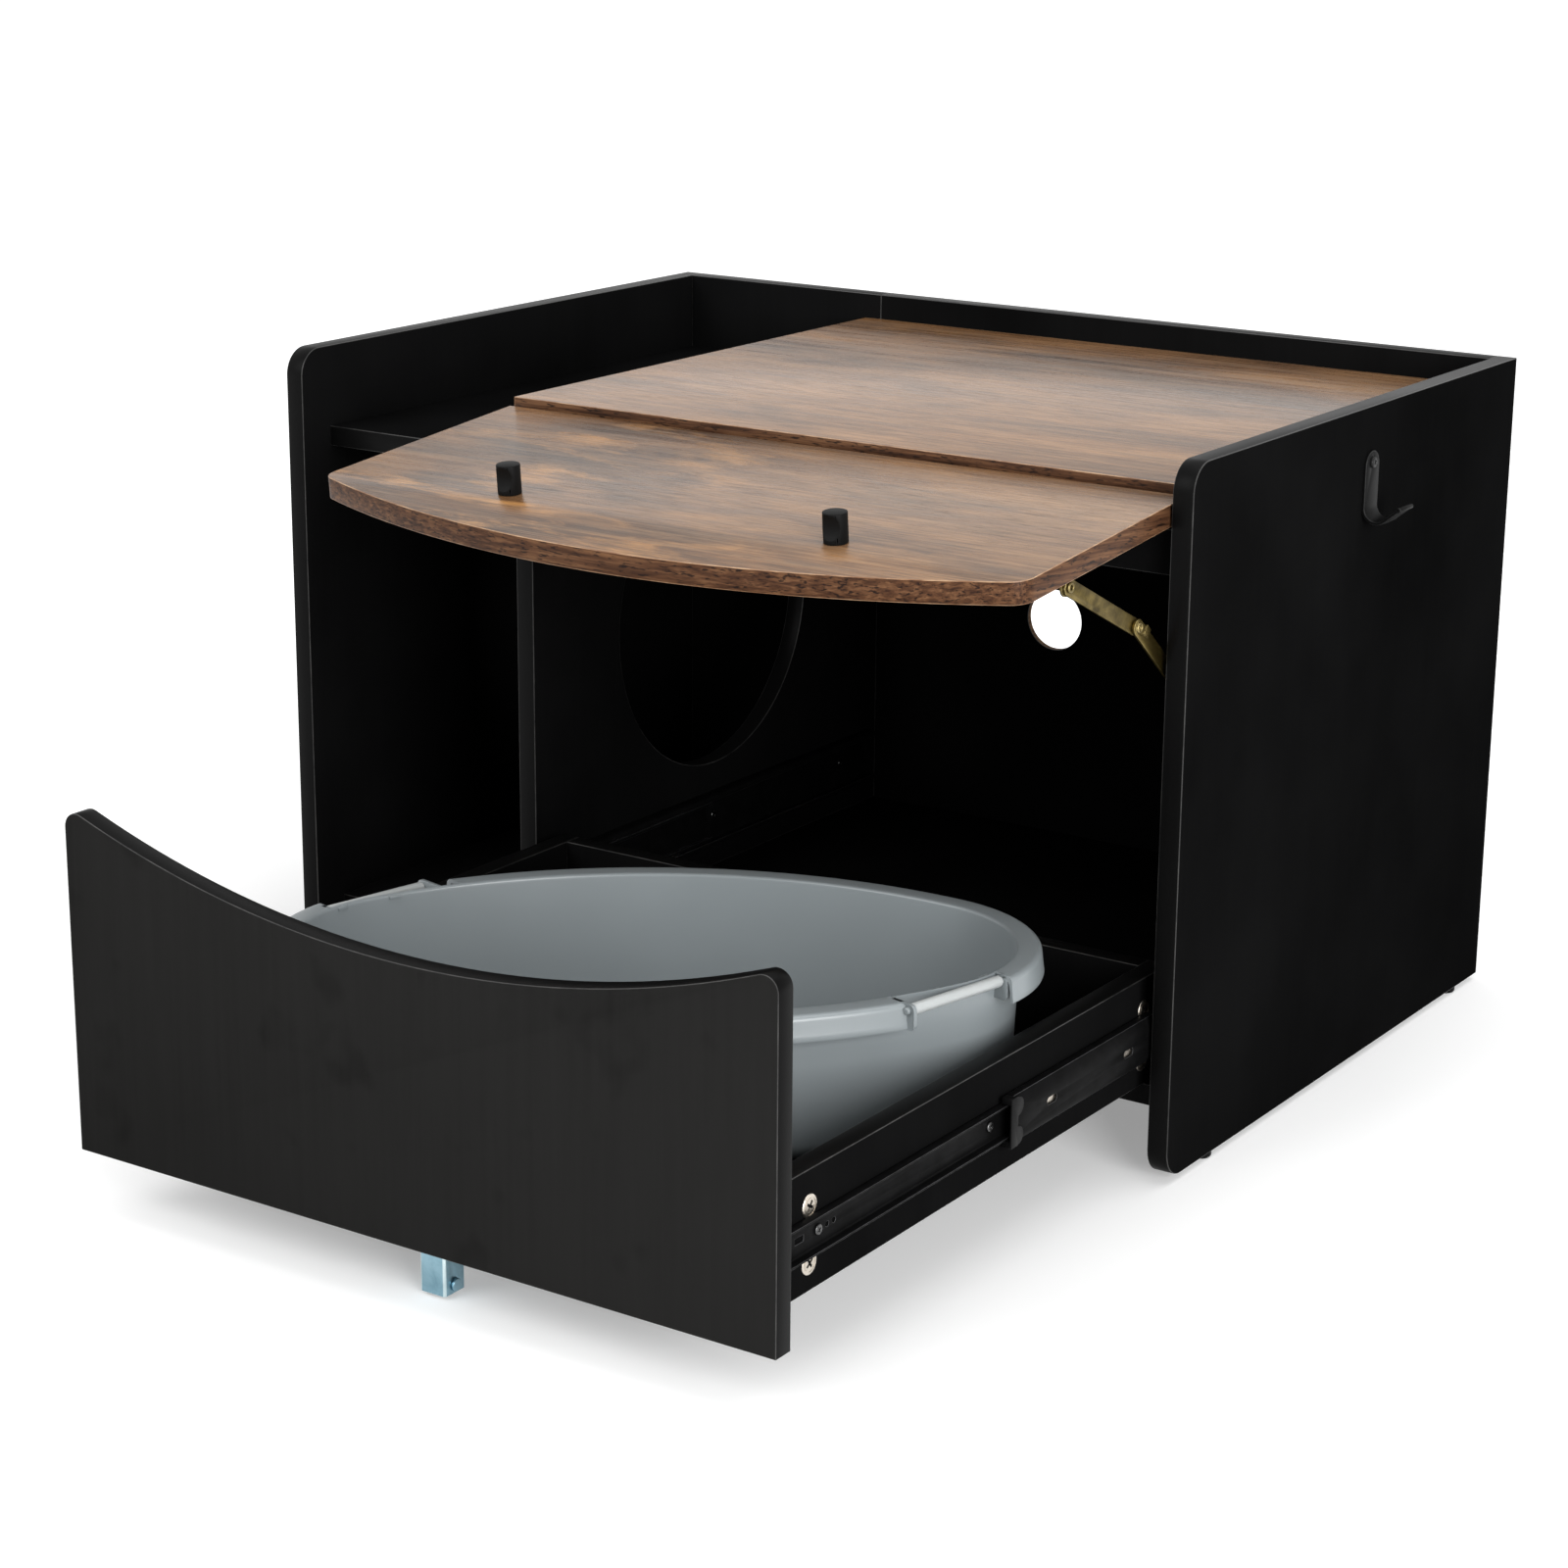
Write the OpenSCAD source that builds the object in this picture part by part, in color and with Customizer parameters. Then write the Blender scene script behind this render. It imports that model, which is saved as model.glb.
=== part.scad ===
// Drawer litter box: a board cabinet with a pull-out pan drawer under a lift-up flap,
// and an open bay on the left with a round pet entrance.
// Millimetres. +Z is up, +Y to the back, +X to the viewer's right.
// The drawer is drawn pulled out and the flap open. The origin is on the floor,
// under the middle of the whole open box.

/* [Cabinet] */
// Width over both side panels
cab_w = 758; // [700:1:860]
// Depth of the side panels
cab_d = 513; // [505:1:620]
// Height of the side panels, without the glides
cab_h = 484; // [470:1:600]
// Thickness of the boards
board_t = 15; // [12:1:18]
// Corner radius at the front of the side panels
panel_corner_r = 20; // [4:1:40]
// Clear width of the right bay, from the partition to the right side panel
bay_w = 536; // [500:1:560]
// Front edges of the inner boards behind the side panels' front edges
inner_setback = 29.4; // [29.4:0.1:32]
// Wood top below the side panels' top edge
top_drop = 20; // [10:1:30]
// Left shelf below the side panels' top edge
shelf_drop = 60.5; // [30:0.5:120]
// Underside of the floor board above the side panels' bottom edge
floor_lift = 38; // [38:0.5:42]
// Height of the front rail that carries the flap's hinges
rail_h = 30; // [20:1:40]

/* [Holes] */
// Radius of the round pet entrance in the partition
entry_r = 126; // [80:1:150]
// Middle of the entrance behind the side panels' front edge
entry_y = 261; // [220:1:300]
// Middle of the entrance above the side panels' bottom edge
entry_z = 265; // [220:1:280]
// Diameter of the vent hole in the right back board
vent_d = 50; // [20:1:80]
// Middle of the vent hole from the right side panel's outer face
vent_x = 378.5; // [250:0.5:450]
// Middle of the vent hole above the side panels' bottom edge
vent_z = 233; // [160:1:360]
// Straight depth of the vent hole's rim before it opens out behind
vent_land = 5; // [3:0.5:10]

/* [Glides] */
// Height of the glides under the side panels
glide_h = 5; // [3:0.5:8]
// Diameter of a glide
glide_d = 14; // [10:0.5:15]
// Chamfer at a glide's foot
glide_c = 1.5; // [0.5:0.1:2.5]
// Front glides behind the side panels' front edge
glide_front = 65; // [40:1:120]
// Rear glides in front of the side panels' rear edge
glide_rear = 41; // [25:1:100]

/* [Flap] */
// Width of the flap
flap_w = 548; // [520:1:549]
// Gap between the flap and the right side panel
flap_gap = 2; // [1:0.5:4]
// Length of the flap at its ends, from its rear edge
flap_end_l = 203; // [190:1:215]
// Length of the flap at its middle
flap_mid_l = 263; // [250:1:270]
// Corner radius at the flap's free edge
flap_corner_r = 16; // [6:1:30]
// Angle from closed to open
flap_open = 84.8; // [60:0.1:90]
// Hinge axis behind the side panels' front edge
hinge_y = 16.5; // [16.3:0.05:16.7]
// Hinge axis below the side panels' top edge
hinge_drop = 44; // [40:1:50]
// Rear edge of the flap past the hinge axis
hinge_edge = 8.4; // [6:0.1:9]
// Outer radius of the hinge barrels
barrel_r = 2.5; // [2:0.1:2.6]
// Radius of the hinge pins
pin_r = 1.25; // [1:0.05:1.4]
// Thickness of the hinge leaves
leaf_t = 1.2; // [0.8:0.1:1.2]
// Width of a hinge leaf from the axis
leaf_w = 13; // [10:1:14]
// Length of a hinge
hinge_l = 50; // [30:1:80]
// Middle of each hinge from the flap's end
hinge_inset = 85; // [60:1:120]
// Knob diameter
knob_d = 16; // [12:0.5:24]
// Knob height
knob_h = 20; // [14:1:30]
// Knobs from the flap's rear edge
knob_reach = 184; // [150:1:190]
// Distance between the two knobs
knob_pitch = 256.5; // [150:0.5:350]
// Right knob from the flap's right end
knob_inset = 146.5; // [100:0.5:180]
// Radius of the finger scoop in a knob's side
scoop_r = 12; // [8:1:20]
// Depth of the finger scoop
scoop_d = 3.2; // [1:0.1:4]
// Middle of the finger scoop above the knob's foot, as a part of its height
scoop_at = 0.55; // [0.5:0.01:0.7]

/* [Lid stay] */
// Pivot distance of each stay arm
stay_l = 96; // [95.5:0.1:100]
// Width of a stay arm
stay_w = 11; // [8:0.5:12]
// Thickness of a stay arm
stay_t = 2; // [1.5:0.1:2.5]
// Chamfer of the upper arm's corners at the flap
stay_chamfer = 3; // [1:0.1:3.4]
// Side of the stop lug on the lower arm
lug_w = 6.5; // [4:0.1:8]
// Stop lug from the knuckle rivet
lug_reach = 11; // [9:0.1:16]
// Flap pivot of the stay below the hinge axis when the flap is closed
stay_reach = 134.3; // [130:0.1:136]
// Flap pivot of the stay behind the flap's inner face
stay_off = 6.2; // [6:0.1:8]
// Fixed pivot of the stay behind the side panels' front edge
stay_fix_y = 42.7; // [42:0.1:46]
// Fixed pivot of the stay below the hinge axis
stay_fix_drop = 119.5; // [116:0.1:121]
// Radius of the stay's pivot studs
stud_r = 2.2; // [1.5:0.1:2.8]
// Outer face of the lower arm from the right side panel's inner face
stay_stand = 4.3; // [3.5:0.1:5]
// Width of the stay's foot on the right side panel
stay_foot_w = 16; // [12:1:20]
// Height of the stay's foot on the right side panel
stay_foot_l = 32; // [24:1:40]
// Thickness of the stay's foot
stay_foot_t = 1.5; // [1:0.1:2]
// Thickness of the bracket on the flap
ear_t = 1.6; // [1.2:0.1:2]
// Width of the bracket's foot on the flap
ear_foot_w = 18; // [12:1:24]
// Length of the bracket's foot on the flap
ear_foot_l = 24; // [16:1:30]
// Radius of the stay's rivet heads
rivet_r = 3.6; // [3:0.1:4]
// Height of the stay's rivet heads
rivet_h = 1; // [0.6:0.1:1.2]
// Radius of the hollow in the knuckle rivet
rivet_hole_r = 1.7; // [1:0.1:2.2]

/* [Drawer] */
// Travel of the drawer from open to closed
drawer_travel = 451; // [448:0.5:453]
// Height of the drawer front at its middle
front_mid_h = 182.6; // [160:0.2:190]
// How far the drawer front's top edge dips below its ends
front_dip = 51; // [20:1:70]
// Corner radius at the drawer front's upper corners
front_corner_r = 10; // [4:1:20]
// Drawer front's bottom edge above the side panels' bottom edge
front_lift = 37.4; // [36:0.1:37.7]
// Lap of the drawer front over the partition's front edge
front_lap = 10.6; // [4:0.1:14]
// Gap between the drawer front and the right side panel
front_gap = 2; // [1:0.5:4]
// Height of the drawer sides
side_h = 76; // [70:1:90]
// Drawer sides' bottom edge above the drawer front's bottom edge
side_lift = 21.6; // [15:0.2:25]
// Length of the drawer sides
side_l = 467.5; // [440:0.5:468]
// Thickness of the drawer bottom
bottom_t = 3; // [3:0.5:5]
// Drawer bottom above the sides' bottom edge
bottom_lift = 7; // [5:0.5:10]
// Depth of the groove that holds the drawer bottom
groove_d = 6; // [3:0.5:8]
// Diameter of the cam locks
cam_d = 15; // [12:0.5:15]
// Cam locks from the end of a drawer side
cam_inset = 34; // [24:1:40]
// Distance between the two cam locks of a joint
cam_pitch = 35.3; // [30:0.1:45]
// Depth of the cam locks in the drawer sides
cam_depth = 12.4; // [10:0.1:13]

/* [Support leg] */
// Width of the square leg tube
leg_w = 20; // [18:0.5:30]
// Wall of the leg tube
leg_wall = 1.5; // [1:0.1:2]
// Leg behind the drawer front
leg_setback = 10; // [5:1:30]
// Thickness of the leg's mounting plate
leg_plate_t = 1.5; // [1:0.1:1.5]
// Width of the leg's mounting plate
leg_plate_w = 48; // [30:1:80]
// Mounting plate behind the leg tube
leg_plate_lap = 4; // [0:0.5:8]
// Radius of the leg's roller
roller_r = 8; // [6:0.1:8]
// Roller below the end of the leg tube
roller_show = 2.5; // [1.5:0.1:4]
// Radius of the leg's axle
axle_r = 2.5; // [1.5:0.1:3]
// Axle head past the axle's radius
axle_head = 1.6; // [1:0.1:2.4]
// Thickness of the axle's head
axle_head_t = 1.8; // [1:0.1:2.4]
// Thickness of the axle's riveted end
axle_end_t = 1.4; // [0.8:0.1:2]

/* [Slides] */
// Gap between the outer member and the back board
slide_rear_gap = 16; // [14:1:36]
// Front end of the inner member behind the drawer front
slide_setback = 4; // [2:0.5:6]
// Height of the outer member
slide_h = 42; // [38:1:46]
// Space between the cabinet and the drawer side
slide_t = 12.7; // [12.5:0.1:13.5]
// Height of the middle member
middle_h = 31.5; // [29:0.5:33]
// How much shorter the middle member is than the other two
middle_short = 35; // [30:1:60]
// Width of the flat web of the middle member
middle_flat = 21; // [18:0.5:24]
// Length of the stop slots in the middle member
slot_l = 12; // [6:1:20]
// Height of the stop slots in the middle member
slot_h = 5; // [3:0.5:8]
// First stop slot from the front end of the middle member
slot_first = 46; // [40:1:60]
// Distance between the two stop slots
slot_pitch = 100; // [60:1:150]
// Height of the inner member
inner_h = 23; // [20:0.5:24]
// Sheet thickness of the slide members
sheet_t = 1.2; // [1:0.1:1.4]
// Middle of the slides above the side panels' bottom edge
slide_z = 95.5; // [92:0.5:100]
// Front end of the outer member behind the side panels' front edge
slide_front = 32; // [30:0.5:34]
// Screws in the cabinet from the ends of the outer member
screw_inset = 40; // [20:1:60]
// First screw in the drawer side from the front end of the inner member
drawer_screw_inset = 37; // [32:1:60]
// Distance between the screws in the drawer side
drawer_screw_pitch = 192; // [100:1:194]
// Height of the screw heads in the drawer side
drawer_screw_t = 1.4; // [0.8:0.1:1.6]
// Radius of the slides' screw heads
screw_head_r = 3.5; // [3:0.1:4]
// Length of the ball cages
cage_l = 140; // [100:1:150]
// Outer ball cages from the rear end of the middle member
cage_rear = 43; // [20:1:60]
// Inner ball cages from the front end of the middle member
cage_front = 30; // [24:1:50]
// Balls in each cage
cage_balls = 4; // [2:1:6]
// Reach of the end clip in front of the middle member
clip_nose = 6.5; // [4:0.5:8]
// Length of the end clip's tongues inside the middle member
clip_l = 21; // [10:1:23]
// Radius of the two lobes of the end clip
clip_lobe_r = 6.2; // [4:0.1:6.6]

/* [Pan] */
// Gap between the pan's wall and the right side of the drawer
pan_gap_right = 15.8; // [12:0.1:30]
// Gap between the pan's wall and the left side of the drawer
pan_gap_left = 37.8; // [20:0.1:60]
// Half of the pan's width over the rim
pan_b = 157.1; // [140:0.1:158]
// Height of the pan
pan_h = 104.4; // [80:0.2:110]
// Pan's turn on the drawer bottom
pan_turn = 33.3; // [20:0.1:34]
// Middle of the pan behind the drawer front's inner face
pan_back = 218.75; // [212:0.05:226]
// Radius of the pan's ends
pan_end_r = 113; // [95:1:125]
// Wall of the pan outside to rim's edge
rim_w = 16; // [10:0.5:20]
// Depth of the skirt under the rim's edge
skirt_h = 17; // [12:0.5:25]
// How far the skirt's foot stands out from its top
skirt_flare = 1.6; // [0:0.1:3]
// How far the pan's wall leans in from rim to floor
pan_draft = 4; // [1:0.5:8]
// Corner radius between the pan's wall and floor
pan_floor_r = 12; // [6:0.5:20]
// Radius of the rim's outer edge
rim_r = 3; // [1.5:0.1:4]
// Wall thickness of the pan
pan_wall = 2.4; // [2:0.1:3]
// Length of a latch rod
rod_l = 100; // [60:1:110]
// Radius of a latch rod
rod_r = 3.8; // [2.5:0.1:4]
// Thickness of the ears at a rod's ends
rod_ear_t = 3; // [2:0.1:4]
// Radius of the bosses on the ears
boss_r = 2.6; // [1.5:0.1:3.4]
// Width of the small tabs on the pan's inner edge
tab_w = 9; // [4:0.5:14]

/* [Hook] */
// Width of the hook strap
hook_w = 21; // [12:0.5:30]
// Thickness of the hook strap
hook_t = 2.2; // [1.5:0.1:3]
// Inner radius of the hook's bend
hook_bend_r = 8.5; // [6:0.5:12]
// Height of the hook's strap above its bend
hook_rise = 39; // [30:1:60]
// Straight length of the hook's tip
hook_tip_l = 14; // [8:0.5:20]
// Hook's bend below the side panels' top edge
hook_drop = 70; // [50:1:200]
// Middle of the hook behind the side panels' front edge
hook_y = 262; // [150:1:400]
// Hook's screw below the strap's upper end
hook_screw_drop = 8; // [7:0.5:12]
// Radius of the hook's screw head
hook_screw_r = 4; // [3:0.1:5]

/* [Hidden] */
$fn = 96;

// Clearances
run_gap = 0.3;
pivot_play = 0.05;
side_play = 0.15;
face_gap = 0.35;
eps = 0.02;

// Hook's reach from the side panel, which sets the overall width
hook_turn = 130;
hook_mid_r = hook_bend_r + hook_t / 2;
hook_roll_r = hook_t * 0.8;
hook_tip_x = hook_bend_r + hook_t + hook_mid_r * cos(180 + hook_turn) + hook_tip_l * cos(hook_turn - 90);
hook_tip_z = hook_mid_r * sin(180 + hook_turn) + hook_tip_l * sin(hook_turn - 90);
hook_reach = hook_tip_x + hook_roll_r;
hook_hole_r = hook_screw_r * 0.55;

// Layers at the front: flap outside, drawer front and rail inside, boards behind
hinge_off = barrel_r + run_gap;
flap_in_y = hinge_y - hinge_off;
front_closed = flap_in_y + face_gap;
front_open = front_closed - drawer_travel;
rail_front = hinge_y - hinge_off + leaf_t + 2 * run_gap;

// Frame: the sides, front edge and base of the cabinet about the origin
x_right = (cab_w - hook_reach) / 2;
x_left = x_right - cab_w;
y_front = -(cab_d + front_open) / 2;
y_back = y_front + cab_d;
z_base = glide_h;

// Right bay
bay_right = x_right - board_t;
bay_left = bay_right - bay_w;
part_left = bay_left - board_t;
left_in = x_left + board_t;
y_in = y_front + inner_setback;
y_back_in = y_back - board_t;
z_floor = z_base + floor_lift;
z_floor_top = z_floor + board_t;
z_top_up = z_base + cab_h - top_drop;
z_top_low = z_top_up - board_t;
z_shelf_low = z_base + cab_h - shelf_drop - board_t;

// Hinge line and stay
z_hinge = z_base + cab_h - hinge_drop;
z_hook = z_base + cab_h - hook_drop;
yh = y_front + hinge_y;
z_rail_up = z_hinge - hinge_off;
flap_right = bay_right - flap_gap;
flap_left = flap_right - flap_w;
flap_mid = (flap_left + flap_right) / 2;
stay_ear_y = stay_off - hinge_off;
stay_fix = [y_front + stay_fix_y, z_hinge - stay_fix_drop];
x_lower_arm = bay_right - stay_stand;
x_upper_arm = x_lower_arm - stay_t - run_gap;
lug_lap = 1.2;
washer_r = stud_r + 2;

// Drawer
yd = y_front + front_open;
yd_in = yd + board_t;
box_right = bay_right - slide_t;
box_left = bay_left + slide_t;
front_right = bay_right - front_gap;
front_left = bay_left - front_lap;
front_w = front_right - front_left;
front_mid = (front_left + front_right) / 2;
z_front = z_base + front_lift;
z_side = z_front + side_lift;
z_bottom = z_side + bottom_lift;
yd_end = yd_in + side_l;
leg_y = yd_in + leg_setback + leg_w / 2;
z_leg_top = z_front - leg_plate_t;
z_axle = roller_r;
roller_w = leg_w - 2 * leg_wall - 2 * run_gap - 2;

// Slides
z_slide = z_base + slide_z;
z_cams = z_slide - 1;
slide_l = cab_d - slide_front - board_t - slide_rear_gap;
middle_l = slide_l - middle_short;
y_outer = y_front + slide_front;
y_inner = yd_in + slide_setback;
middle_lead = 3.5;
y_middle = (y_outer + y_inner + slide_l) / 2 - middle_l / 2 + middle_lead;
outer_bend_r = 2.6;
inner_bend_r = 2.4;
outer_end_n = 11.5;
outer_lip = 4.2;
middle_n = 2.8;
middle_shoulder_n = 5.4;
middle_end_n = 10.4;
middle_lip = 2.4;
inner_n = 5.6;
latch_slot = [9, 4];
latch_y = 18;
pilot_r = 1.8;
pilot_y = [47, 54];
clip_n = 1.5;
clip_t = 1.25;
clip_half = 16.5;
clip_end_n = 9.2;
clip_play = 0.1;
tongue_n = [6.2, 9];
tongue_t = 1.35;
race_play = 0.55;
cage_t = 0.8;
ball_n = 6.6;
ball_outer_r = (slide_h / 2 - sheet_t - middle_h / 2 - race_play) / 2;
ball_inner_r = (middle_h / 2 - sheet_t - inner_h / 2 - race_play) / 2;

// Pan
pan_right = box_right - board_t - pan_gap_right;
pan_left = box_left + board_t + pan_gap_left;
pan_at = [(pan_left + pan_right) / 2, yd_in + pan_back, z_bottom + bottom_t + run_gap];
pan_a = pan_end_r + ((pan_right - pan_left) / 2 + rim_w - pan_end_r) / cos(pan_turn);
rod_angle = 34.1;
rod_far = 188;
rod_in = 10.4;
rod_play = 0.6;
ear_lap = 2;
ear_r = 4;
boss_h = 1.4;
tab_t = 1.4;
tab_h = 2;
tab_y = [-14, 30];
floor_lap = 1;
seam_lap = 0.3;

function turn2(p, a) = [p[0] * cos(a) - p[1] * sin(a), p[0] * sin(a) + p[1] * cos(a)];
// Where two arms of length l meet, on the left of the line from p to q
function elbow(p, q, l) =
  let (d = norm(q - p), u = (q - p) / d, h = sqrt(l * l - d * d / 4))
  (p + q) / 2 + h * [-u[1], u[0]];
function heading(p, q) = atan2(q[1] - p[1], q[0] - p[0]);

hinge_at = [yh, z_hinge];
stay_ear = hinge_at + turn2([stay_ear_y, -stay_reach], -flap_open);
stay_knee = elbow(stay_ear, stay_fix, stay_l);

// A plate in the YZ plane, its profile drawn with X to the back, from x to x + t
module plate_x(x, t) translate([x, 0, 0]) rotate([90, 0, 90]) linear_extrude(t) children();
// A plate in the XZ plane, its profile drawn as seen from the front, from y to y + t
module plate_y(y, t) translate([0, y + t, 0]) rotate([90, 0, 0]) linear_extrude(t) children();
module board(lo, hi) translate(lo) cube(hi - lo);
module disc_x(p, r, t) translate(p) rotate([0, 90, 0]) cylinder(h = t, r = r);

// ---- cabinet ----
module side_outline() {
  r = panel_corner_r;
  translate([y_front + r, z_base]) square([cab_d - r, cab_h]);
  translate([y_front, z_base + r]) square([cab_d, cab_h - 2 * r]);
  for (z = [z_base + r, z_base + cab_h - r]) translate([y_front + r, z]) circle(r);
}
module left_side_panel() color("#141414") plate_x(x_left, board_t) side_outline();
module right_side_panel() color("#141414") plate_x(bay_right, board_t) side_outline();

module partition() color("#101010") plate_x(part_left, board_t) difference() {
  translate([y_in, z_floor_top]) square([y_back_in - y_in, z_top_low - z_floor_top]);
  translate([y_front + entry_y, z_base + entry_z]) circle(entry_r);
}

module top_panel() color("#8a6244") board([part_left, y_in, z_top_low], [bay_right, y_back_in, z_top_up]);
module left_shelf() color("#161616")
  board([left_in, y_in, z_shelf_low], [part_left, y_back_in, z_shelf_low + board_t]);
module floor_panel() color("#161616")
  board([left_in, y_in, z_floor], [bay_right, y_back_in, z_floor_top]);

module left_back_panel() color("#121212")
  board([left_in, y_back_in, z_base], [bay_left, y_back, z_base + cab_h]);
module right_back_panel() color("#121212") difference() {
  board([bay_left, y_back_in, z_base], [bay_right, y_back, z_base + cab_h]);
  translate([x_right - vent_x, y_back_in, z_base + vent_z]) rotate([-90, 0, 0]) {
    translate([0, 0, -eps]) cylinder(h = board_t + 2 * eps, d = vent_d);
    translate([0, 0, vent_land])
      cylinder(h = board_t - vent_land + eps, d1 = vent_d, d2 = vent_d + 2 * (board_t - vent_land));
  }
}

module front_rail() color("#141414")
  board([bay_left, y_front + rail_front, z_rail_up - rail_h],
    [bay_right, y_front + rail_front + board_t, z_rail_up]);

module glide_feet() color("#1b1b1b")
  for (x = [x_left + board_t / 2, x_right - board_t / 2], y = [y_front + glide_front, y_back - glide_rear])
    translate([x, y, 0]) rotate_extrude() polygon([
      [0, 0], [glide_d / 2 - glide_c, 0], [glide_d / 2, glide_c], [glide_d / 2, glide_h], [0, glide_h]]);

// ---- hook on the right side panel ----
module hook_profile() {
  c = hook_bend_r + hook_t;
  translate([0, -eps]) square([hook_t, hook_rise + eps]);
  translate([c, 0]) difference() {
    circle(c);
    circle(hook_bend_r);
    translate([-2 * c, 0]) square([4 * c, 2 * c]);
    rotate(hook_turn - 180) square([2 * c, 2 * c]);
  }
  translate([c + hook_mid_r * cos(180 + hook_turn), hook_mid_r * sin(180 + hook_turn)])
    rotate(hook_turn - 90) translate([-run_gap, -hook_t / 2]) square([hook_tip_l + run_gap, hook_t]);
  translate([hook_tip_x, hook_tip_z]) circle(hook_roll_r);
}
module strap_hook() color("#151515") difference() {
  intersection() {
    translate([x_right, y_front + hook_y + hook_w / 2, z_hook])
      rotate([90, 0, 0]) linear_extrude(hook_w) hook_profile();
    plate_x(x_right - 1, hook_reach + 2) {
      translate([y_front + hook_y, z_hook + hook_rise - hook_w / 2]) circle(d = hook_w);
      translate([y_front + hook_y - hook_w / 2, z_hook - 2 * hook_bend_r])
        square([hook_w, hook_rise - hook_w / 2 + 2 * hook_bend_r]);
    }
  }
  disc_x([x_right - 1, y_front + hook_y, z_hook + hook_rise - hook_screw_drop], hook_hole_r, hook_t + 2);
}
module hook_screw() color("#333333") {
  at = [x_right + hook_t, y_front + hook_y, z_hook + hook_rise - hook_screw_drop];
  disc_x(at, hook_screw_r, hook_screw_r * 0.45);
  disc_x([x_right, at[1], at[2]], hook_hole_r - 0.1, hook_t + eps);
}

// ---- slides: x runs from the cabinet's face to the drawer's side, right = 1, left = -1 ----
module at_slide(right) translate([right == 1 ? bay_right : bay_left, 0, z_slide])
  mirror([right == 1 ? 1 : 0, 0, 0]) children();
module member(y0, l) translate([0, y0 + l, 0]) rotate([90, 0, 0]) linear_extrude(l) children();
// A block of depth d and height h with round corners
module rounded(d, h, r) {
  translate([r, -h / 2]) square([d - 2 * r, h]);
  translate([0, r - h / 2]) square([d, h - 2 * r]);
  for (x = [r, d - r], z = [r - h / 2, h / 2 - r]) translate([x, z]) circle(r);
}
module bent_sheet(d, h, r) difference() {
  rounded(d, h, r);
  translate([sheet_t, 0]) rounded(d - 2 * sheet_t, h - 2 * sheet_t, r - sheet_t);
}
module outer_section() difference() {
  bent_sheet(outer_end_n, slide_h, outer_bend_r);
  translate([outer_end_n / 2, outer_lip - slide_h / 2]) square([outer_end_n, slide_h - 2 * outer_lip]);
}
module inner_section() translate([slide_t, 0]) mirror([1, 0]) difference() {
  bent_sheet(2 * (slide_t - inner_n), inner_h, inner_bend_r);
  translate([slide_t - inner_n, -inner_h]) square([2 * slide_t, 2 * inner_h]);
}
module middle_section() {
  top = middle_h / 2;
  flat = middle_flat / 2;
  half = [[middle_n, flat], [middle_shoulder_n, top], [middle_end_n, top],
    [middle_end_n, top - middle_lip], [middle_end_n - sheet_t, top - middle_lip],
    [middle_end_n - sheet_t, top - sheet_t], [middle_shoulder_n + sheet_t / 2, top - sheet_t],
    [middle_n + sheet_t, flat - sheet_t / 2]];
  polygon(concat(half, [for (i = [7:-1:0]) [half[i][0], -half[i][1]]]));
}
module slide_outer(right) color("#1c1c1e") at_slide(right) member(y_outer, slide_l) outer_section();
module slide_inner(right) color("#1c1c1e") at_slide(right) difference() {
  member(y_inner, slide_l) inner_section();
  translate([slide_t / 2, y_inner + latch_y - latch_slot[0] / 2, -latch_slot[1] / 2])
    cube([slide_t, latch_slot[0], latch_slot[1]]);
  for (y = pilot_y) disc_x([slide_t / 2, y_inner + y, 0], pilot_r, slide_t);
}
module slide_middle(right) color("#1e1e20") at_slide(right) difference() {
  member(y_middle, middle_l) middle_section();
  for (i = [0, 1]) translate([0, y_middle + slot_first + i * slot_pitch, 0]) {
    translate([middle_n - 1, slot_h / 2 - slot_l / 2, -slot_h / 2]) cube([sheet_t + 2, slot_l - slot_h, slot_h]);
    for (s = [-1, 1]) disc_x([middle_n - 1, s * (slot_l - slot_h) / 2, 0], slot_h / 2, sheet_t + 2);
  }
}
// The clip's plate lies on the web, its nose stops the member and its tongues hold it
module slide_clip(right) color("#0c0c0c") at_slide(right) {
  plate_x(clip_n, clip_t) {
    translate([y_middle - clip_nose, -clip_half]) square([clip_nose + 2, 2 * clip_half]);
    for (s = [-1, 1]) translate([y_middle + 2, s * (clip_half - clip_lobe_r - 0.5)]) circle(clip_lobe_r);
  }
  low = inner_h / 2 + race_play + 0.1;
  high = middle_h / 2 - sheet_t - clip_play;
  for (s = [0, 1]) mirror([0, 0, s]) {
    translate([clip_n, y_middle - clip_nose, low])
      cube([clip_end_n - clip_n, clip_nose - clip_play, clip_half - low]);
    translate([tongue_n[0], y_middle - clip_nose, high - tongue_t])
      cube([tongue_n[1] - tongue_n[0], clip_nose + clip_l, tongue_t]);
  }
}
module ball_cages(right) color("#b9bbbd") at_slide(right) for (s = [-1, 1]) {
  race(s * (middle_h / 2 + ball_outer_r), ball_outer_r, y_middle + middle_l - cage_rear - cage_l);
  race(s * (middle_h / 2 - sheet_t - ball_inner_r), ball_inner_r, y_middle + cage_front);
}
module race(z, r, y0) {
  translate([ball_n, y0, z - cage_t / 2]) cube([2 * r, cage_l, cage_t]);
  for (i = [0:cage_balls - 1])
    translate([ball_n + r, y0 + cage_l * (i + 0.5) / cage_balls, z]) sphere(r, $fn = 24);
}

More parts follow.
